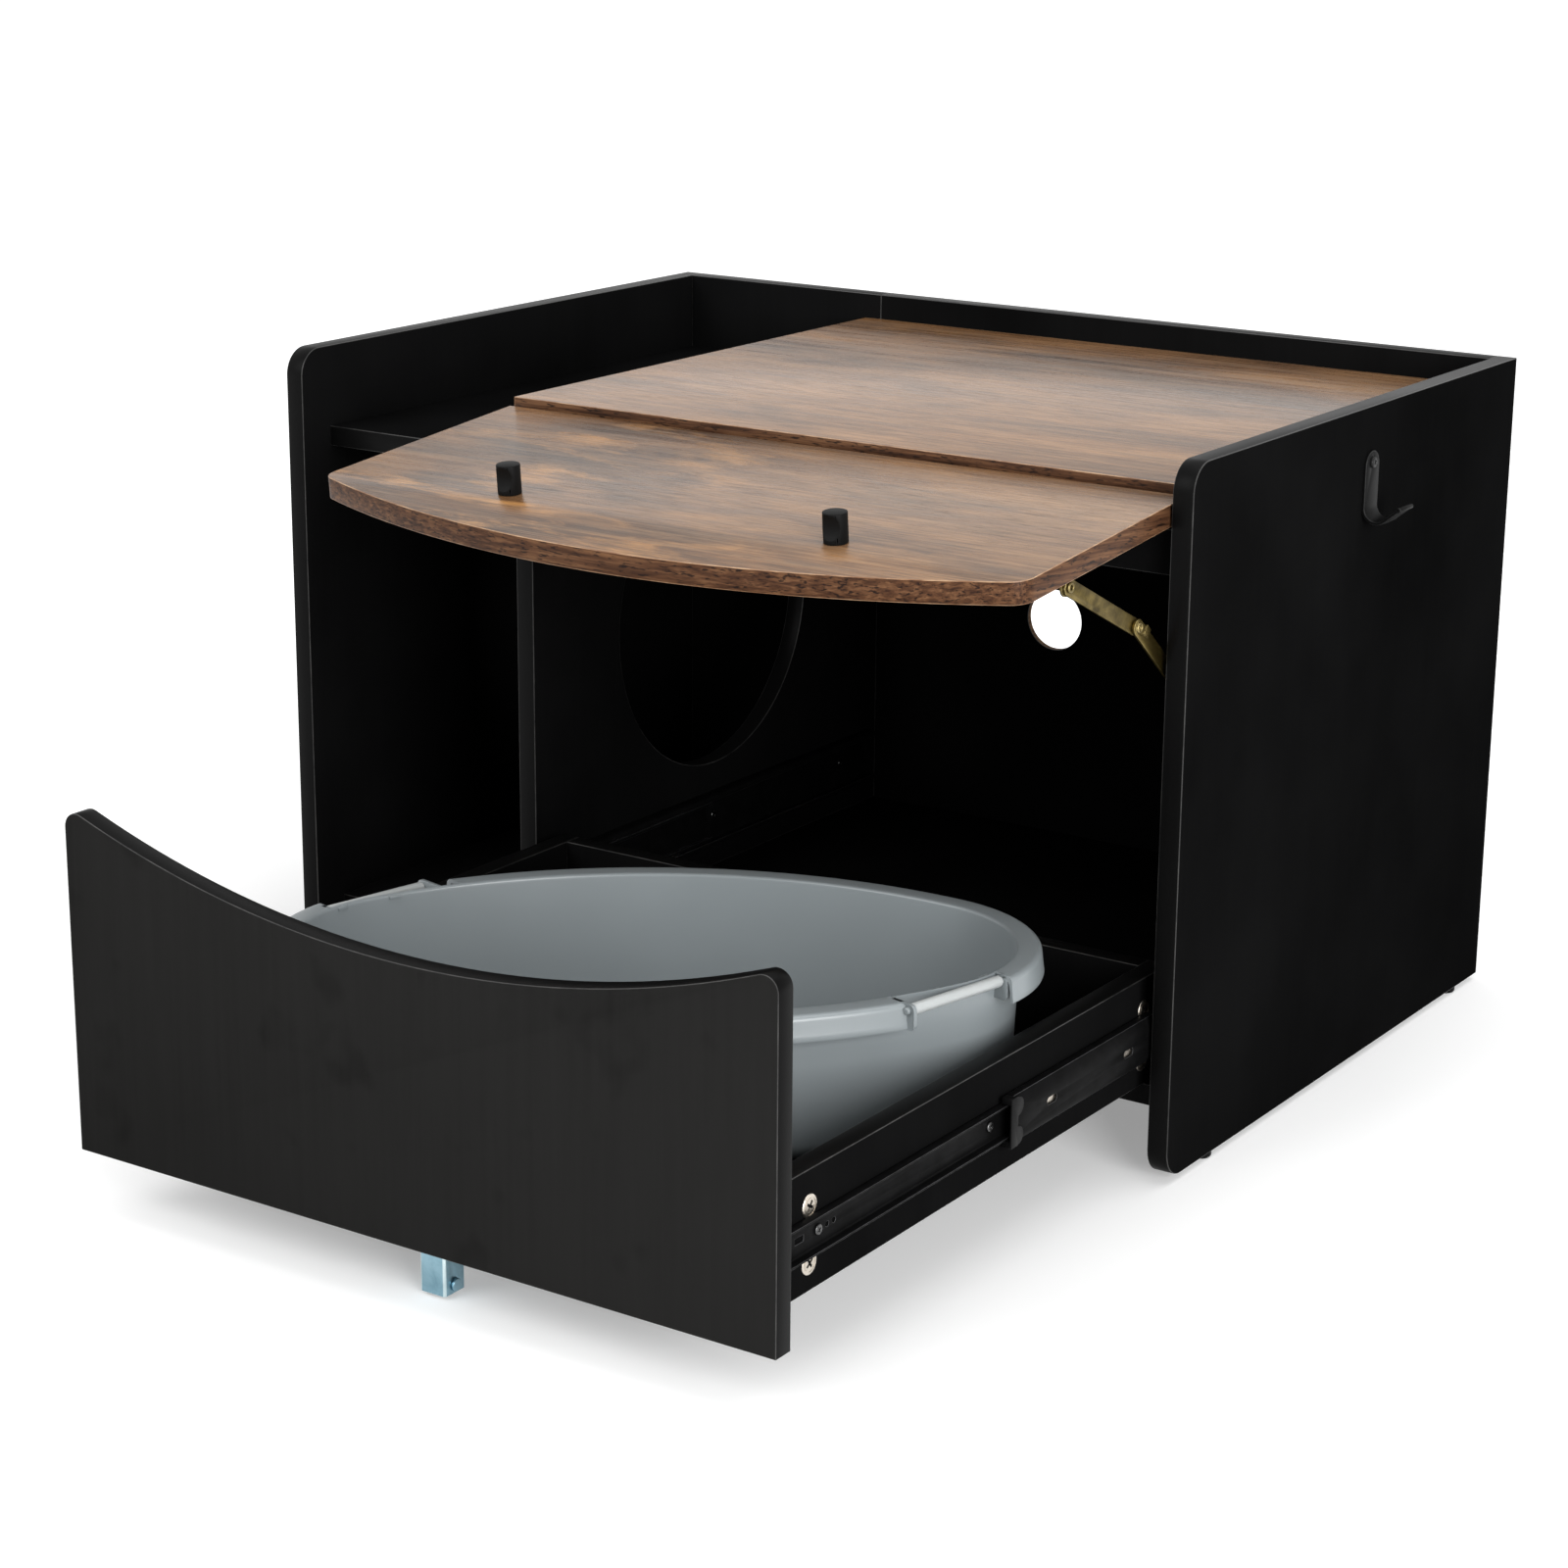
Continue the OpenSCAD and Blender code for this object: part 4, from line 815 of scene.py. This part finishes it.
for side in bothSides:
    for turn in (nearEar, farEar):
        for master in (ear, boss):
            twin = copyAt(master, atLatch(side) @ turn)
            facesOut(twin)
            if master is ear:
                carve(twin, core(latch["wallMiddle"]))
            parts.append(twin)
    for y in latch["tabs"]:
        wide = latch["tabWidth"] / 2
        tab = addBlock("tab", (latch["gapIn"], y - wide, top - latch["tabLow"]),
                       (latch["tabOut"], y + wide, top - latch["tabHigh"]))
        moveTo(tab, atLatch(side))
        carve(tab, core(latch["tabInset"]))
        carve(tab, core(latch["wallMiddle"]), "INTERSECT")
        softenEdges(tab, latch["soft"], 2)
        parts.append(tab)
putAway(ear, boss)
bowl = joinPieces("litterPan", [bowl] + parts)
wear(bowl, "pan", "latch")

bar = addRound("bar", (latch["far"], (latch["from"] + latch["to"]) / 2, barHigh),
               latch["radius"], latch["to"] - latch["from"] - 2 * latch["neck"], "Y", 48)
pick(bar, "FACE", lambda face: abs(face.normal.y) > 0.9)
bpy.ops.mesh.inset(thickness=latch["barEnd"], use_individual=True)
bpy.ops.mesh.extrude_region_shrink_fatten(TRANSFORM_OT_shrink_fatten={"value": latch["neck"]})
letGo()
softenEdges(bar, latch["barSoft"], 3)
wear(bar, "latch")
bars = [copyAt(bar, atLatch(side)) for side in bothSides]
putAway(bar)
piece = joinPieces("litterPan", [bowl] + bars)
moveTo(piece, panTurn)
smooth(piece, 42)
done(piece, "pan", "grey_plastic", "litter_pan", "pan_latch_rods")
print("pan made")

# screw heads with a cross recess, copied wherever a screw shows
screw = {"radius": 3.5 * mm, "height": 1.4 * mm, "round": 0.8 * mm, "reach": 1.9 * mm,
         "slot": 0.9 * mm, "deep": 0.9 * mm}
hookScrew = {"radius": 4 * mm, "height": 1.8 * mm, "round": 1.3 * mm, "reach": 2.0 * mm,
             "slot": 0.9 * mm, "deep": 1.0 * mm,
             "place": Vector((366.522, 223.975, 450)) * mm, "spin": 0.5}


def crossHead(name, size):
    height, reach, half = size["height"], size["reach"], size["slot"] / 2
    head = addRound(name, (0, 0, height / 2), size["radius"], height, "Z", 64)
    roundCorners(head, lambda e: edgeMiddle(e).z > height * 0.9, size["round"], 5)
    for long, wide in ((reach, half), (half, reach)):
        carve(head, addBlock("recess", (-long, -wide, height - size["deep"]),
                             (long, wide, height + 2 * mm)))
    softenEdges(head, 0.08 * mm, 1, -1, 60)
    smooth(head, 40)
    return head


head = crossHead("screwHead", screw)
rounder = crossHead("roundHead", hookScrew)

slide = {"right": 349.322 * mm, "left": -186.678 * mm, "z": 100.5 * mm,
         "front": -455.975 * mm, "outer": -6.025 * mm, "length": 450 * mm,
         "middle": -210.0 * mm, "middleLength": 415 * mm,
         "drawerFace": 11.5 * mm, "firstScrew": 37 * mm, "screwPitch": 192 * mm,
         "cabinetFace": 1.2 * mm, "endScrew": 40 * mm, "flatter": 0.85, "spins": (0, 1.5)}


def atSlide(right, depth, y, z=0.0):
    x = slide["right"] - depth if right else slide["left"] + depth
    return Vector((x, y, slide["z"] + z))


def slideBlock(name, right, low, high):
    corners = [atSlide(right, *low), atSlide(right, *high)]
    return addBlock(name, [min(c[i] for c in corners) for i in range(3)],
                    [max(c[i] for c in corners) for i in range(3)])


flatter = Matrix.Scale(slide["flatter"], 4, (0, 0, 1))
cabinetSteps = (slide["endScrew"], slide["length"] / 2, slide["length"] - slide["endScrew"])
copies = {"drawer": [], "cabinet": []}
for right in (True, False):
    way = Vector((1, 0, 0)) if right else Vector((-1, 0, 0))
    for i, cabinetStep in enumerate(cabinetSteps):
        y = slide["front"] + slide["firstScrew"] + slide["screwPitch"] * i
        turn = facing(atSlide(right, slide["drawerFace"], y), way, dice.uniform(*slide["spins"]))
        copies["drawer"].append(copyAt(head, turn))
        y = slide["outer"] + cabinetStep
        turn = facing(atSlide(right, slide["cabinetFace"], y), -way, dice.uniform(*slide["spins"]))
        copies["cabinet"].append(copyAt(head, turn @ flatter))
for body, twins in copies.items():
    piece = joinPieces("slideScrews" + body.title(), twins)
    wear(piece, "screwSteel")
    done(piece, body, "nickel", "slide_screws_" + body)

# cam locks: a wide flat head with a rolled edge, a ring and a cross
cam = {"radius": 7.5 * mm, "height": 3 * mm, "round": 0.9 * mm, "reach": 3.6 * mm,
       "slot": 1.7 * mm, "deep": 1.8 * mm, "proud": 0.7 * mm,
       "ringOuter": 5.6 * mm, "ringInner": 5.0 * mm, "ringDeep": 0.5 * mm,
       "z": (81.85 * mm, 117.15 * mm), "y": (-425.975 * mm, -26.475 * mm),
       "right": 336.622 * mm, "left": -173.978 * mm, "spins": (0.2, 1.2)}
master = crossHead("camHead", cam)
camFace = (0, 0, cam["height"])
groove = addRound("groove", camFace, cam["ringOuter"], cam["ringDeep"], "Z", 64)
carve(groove, addRound("inner", camFace, cam["ringInner"], 4 * cam["ringDeep"], "Z", 64))
carve(master, groove)
smooth(master, 40)
twins = []
for x, way in ((cam["right"], 1), (cam["left"], -1)):
    for y in cam["y"]:
        for z in cam["z"]:
            place = Vector((x - way * (cam["height"] - cam["proud"]), y, z))
            turn = facing(place, (way, 0, 0), dice.uniform(*cam["spins"]))
            twins.append(copyAt(master, turn))
putAway(master)
piece = joinPieces("camLocks", twins)
wear(piece, "nickel")
done(piece, "drawer", "nickel", "cam_locks")
print("screws and cam locks made")

# the ball cages: a bent bright retainer in the middle member, and two strips outside it
cage = {"start": 30 * mm, "length": 140 * mm, "rear": 43 * mm, "web": 4.4 * mm,
        "reach": 9.1 * mm, "half": 13.7 * mm, "sheet": 0.6 * mm, "corner": 3.2 * mm,
        "openEnd": 9 * mm, "openSide": 5 * mm, "depth": 6.6 * mm, "raceHigh": 15.75 * mm,
        "stripHalf": 0.4 * mm, "stripSoft": 0.2 * mm, "outerBall": 1.75 * mm,
        "innerBall": 1.25 * mm, "innerHigh": 13.3 * mm, "balls": 4}


def roundWeb(piece, right, depth):
    webX = atSlide(right, depth, 0).x
    roundCorners(piece, lambda e: edgeAlong(e, 1) and abs(edgeMiddle(e).x - webX) < 0.1 * mm,
                 cage["corner"], 3)


def makeRetainer(right, y):
    web, sheet, half = cage["web"], cage["sheet"], cage["half"]
    retainer = slideBlock("cage", right, (web, y, -half),
                          (cage["reach"], y + cage["length"], half))
    roundWeb(retainer, right, web)
    hollow = slideBlock("hollow", right, (web + sheet, y - cage["openEnd"], sheet - half),
                        (cage["reach"] + cage["openSide"],
                         y + cage["length"] + cage["openEnd"], half - sheet))
    roundWeb(hollow, right, web + sheet)
    carve(retainer, hollow)
    return retainer


letGo()
bpy.ops.mesh.primitive_uv_sphere_add(segments=20, ring_count=12, radius=1 * mm)
ball = bpy.context.object
settle(ball)
frontY = slide["middle"] + cage["start"]
backY = slide["middle"] + slide["middleLength"] - cage["rear"] - cage["length"]
for right, name in ((True, "right"), (False, "left")):
    parts = [makeRetainer(right, frontY)]
    for s in (-1, 1):
        z = s * (cage["raceHigh"] + cage["outerBall"])
        strip = slideBlock("strip", right, (cage["depth"], backY, z - cage["stripHalf"]),
                           (cage["depth"] + 2 * cage["outerBall"], backY + cage["length"],
                            z + cage["stripHalf"]))
        softenEdges(strip, cage["stripSoft"], 2)
        parts.append(strip)
        rows = ((cage["outerBall"], backY, z), (cage["innerBall"], frontY, s * cage["innerHigh"]))
        for i in range(cage["balls"]):
            step = cage["length"] * (i + 0.5) / cage["balls"]
            for size, fromY, high in rows:
                place = atSlide(right, cage["depth"] + size, fromY + step, high)
                turn = Matrix.Translation(place) @ Matrix.Scale(size / mm, 4)
                parts.append(copyAt(ball, turn))
    piece = joinPieces("ballCages" + name.title(), parts)
    wear(piece, "nickel")
    smooth(piece, 30)
    done(piece, "slide_middle_" + name, "nickel", "ball_cages_" + name)
putAway(ball)

# sheet and turned parts, each from its solid with its edges eased
steel, brass, hingeSteel = ("slide", "slideEdge"), ("brass", "rivet"), ("hinge",)
eased = {  # node: body, slot, finishes, edge width in mm, slot for the edge
    "slide_outer_left": ("cabinet", "black_steel", steel, 0.22, 1),
    "slide_outer_right": ("cabinet", "black_steel", steel, 0.22, 1),
    "slide_middle_left": ("slide_middle_left", "black_steel", steel, 0.22, 1),
    "slide_middle_right": ("slide_middle_right", "black_steel", steel, 0.22, 1),
    "slide_inner_left": ("drawer", "black_steel", steel, 0.22, 1),
    "slide_inner_right": ("drawer", "black_steel", steel, 0.22, 1),
    "slide_clip_left": ("slide_middle_left", "black_plastic", ("black",), 0.35, -1),
    "slide_clip_right": ("slide_middle_right", "black_plastic", ("black",), 0.35, -1),
    "glide_feet": ("cabinet", "black_plastic", ("black",), 0.5, -1),
    "strap_hook": ("cabinet", "black_paint", ("paint", "paintEdge"), 0.45, 1),
    "stay_fixed_bracket": ("cabinet", "antique_brass", brass, 0.25, 1),
    "stay_upper_arm": ("stay_upper", "antique_brass", brass, 0.3, 1),
    "stay_lower_arm": ("stay_lower", "antique_brass", brass, 0.3, 1),
    "stay_flap_bracket": ("flap", "antique_brass", brass, 0.25, 1),
    "hinge_fixed_leaves": ("cabinet", "hinge_steel", hingeSteel, 0.2, -1),
    "hinge_moving_leaves": ("flap", "hinge_steel", hingeSteel, 0.2, -1),
    "hinge_pins": ("flap", "hinge_steel", hingeSteel, 0.3, -1),
    "knob_left": ("flap", "black_paint", ("knob",), 0.5, -1),
    "knob_right": ("flap", "black_paint", ("knob",), 0.5, -1),
    "leg_axle": ("drawer", "zinc", ("zinc",), 0.5, -1),
    "leg_roller": ("roller", "black_plastic", ("black",), 0.9, -1),
}
stay = {"kneeFace": 345.772 * mm, "knee": (-68.600 * mm, 387.522 * mm),
        "earFace": 343.472 * mm, "ear": (-154.964 * mm, 429.442 * mm),
        "ring": 2.65 * mm, "bead": 0.85 * mm,
        "hollowX": 344.272 * mm, "hollowRadius": 1.7 * mm, "hollowDeep": 2.2 * mm}
hinge = {"firstScrews": 85 * mm, "screwStep": 17 * mm, "screwSize": 0.8,
         "secondScrews": -85 * mm,  # misplaced by the first hinge, so the second has none
         "railBack": 8.8 * mm, "railHigh": 443.4 * mm, "railSpin": 0.4,
         "leafFace": -1.6 * mm, "leafDown": -19 * mm, "leafSpin": 0.9}


def ringRivet(x, spot):
    letGo()
    bpy.ops.mesh.primitive_torus_add(major_radius=stay["ring"], minor_radius=stay["bead"],
                                     major_segments=48, minor_segments=14,
                                     location=(x, *spot), rotation=(0, math.pi / 2, 0))
    return bpy.context.object


def hingeScrews(fixed):
    screws = []
    for x in (left + hinge["firstScrews"], hinge["secondScrews"]):
        for step in (-hinge["screwStep"], hinge["screwStep"]):
            if fixed:
                place = Vector((x + step, flap["hinge"].y + hinge["railBack"], hinge["railHigh"]))
                turn = facing(place, (0, 0, 1), hinge["railSpin"])
            else:
                place = Vector((x + step, hinge["leafFace"], hinge["leafDown"]))
                turn = openFlap @ facing(place, (0, 1, 0), hinge["leafSpin"])
            screws.append(copyAt(head, turn @ Matrix.Scale(hinge["screwSize"], 4)))
    return screws


for node, (body, slotName, names, width, lineSlot) in eased.items():
    piece = fromNode(node, names, width * mm, lineSlot)
    extra = []
    if node == "stay_lower_arm":
        extra = [ringRivet(stay["kneeFace"], stay["knee"])]
    if node == "stay_flap_bracket":
        carve(piece, addRound("rivetHollow", (stay["hollowX"], *stay["ear"]),
                              stay["hollowRadius"], stay["hollowDeep"], "X", 40))
        extra = [ringRivet(stay["earFace"], stay["ear"])]
    if node in ("hinge_fixed_leaves", "hinge_moving_leaves"):
        extra = hingeScrews(node == "hinge_fixed_leaves")
    for part in extra:
        settle(part)
        wear(part, names[-1])
    piece = joinPieces(piece.name, [piece] + extra)
    smooth(piece, 35)
    done(piece, body, slotName, node)
twin = copyAt(rounder, facing(hookScrew["place"], (1, 0, 0), hookScrew["spin"]))
twin.name = "hookScrew"
wear(twin, "paintEdge")
done(twin, "cabinet", "black_paint", "hook_screw")
print("slides, stay, hinges, hook and knobs made")

# the support leg: a square tube with rounded corners under its screwed plate
leg = {"x": 75.022 * mm, "y": -439.975 * mm, "side": 20 * mm, "wall": 1.5 * mm,
       "corner": 2.2 * mm, "boreCorner": 1.0 * mm, "borePast": 5 * mm, "low": 2.5 * mm,
       "top": 40.9 * mm, "axleHigh": 8 * mm, "axleHole": 2.55 * mm, "axleCut": 60 * mm,
       "plate": 1.5 * mm, "plateHalf": 24 * mm, "plateFront": -469.5 * mm,
       "plateBack": -425.975 * mm, "plateCorner": 4 * mm, "soft": 0.3 * mm,
       "screwX": 17 * mm, "screwY": -464.5 * mm, "screwSpin": 0.3}


def squareTube(name, half, corner, low, high):
    tube = addBlock(name, (leg["x"] - half, leg["y"] - half, low),
                    (leg["x"] + half, leg["y"] + half, high))
    roundCorners(tube, lambda e: edgeAlong(e, 2), corner, 6)
    return tube


half = leg["side"] / 2
tube = squareTube("supportLeg", half, leg["corner"], leg["low"], leg["top"])
carve(tube, squareTube("bore", half - leg["wall"], leg["boreCorner"],
                       leg["low"] - leg["borePast"], leg["top"] + leg["borePast"]))
carve(tube, addRound("axleHole", (leg["x"], leg["y"], leg["axleHigh"]), leg["axleHole"],
                     leg["axleCut"], "X", 40))
plate = addBlock("legPlate", (leg["x"] - leg["plateHalf"], leg["plateFront"], leg["top"]),
                 (leg["x"] + leg["plateHalf"], leg["plateBack"], leg["top"] + leg["plate"]))
roundCorners(plate, lambda e: edgeAlong(e, 2), leg["plateCorner"], 5)
piece = joinPieces("supportLeg", [tube, plate])
wear(piece, "zinc", "zincEdgeHighlight")
# the tube's rounded corners and the eased edges take the paler zinc as a painted highlight
paintFaces(piece, lambda face: abs(face.normal.x) > 0.25 and abs(face.normal.y) > 0.25, 1)
softenEdges(piece, leg["soft"], 2, 1, 50, False)
extra = []
for s in (-1, 1):
    place = Vector((leg["x"] + s * leg["screwX"], leg["screwY"], leg["top"]))
    extra.append(copyAt(head, facing(place, (0, 0, -1), leg["screwSpin"] + s)))
for part in extra:
    wear(part, "zincEdgeHighlight")
piece = joinPieces("supportLeg", [piece] + extra)
smooth(piece, 35)
done(piece, "drawer", "zinc", "support_leg")
putAway(head, rounder)
print("leg made")

low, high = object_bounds()
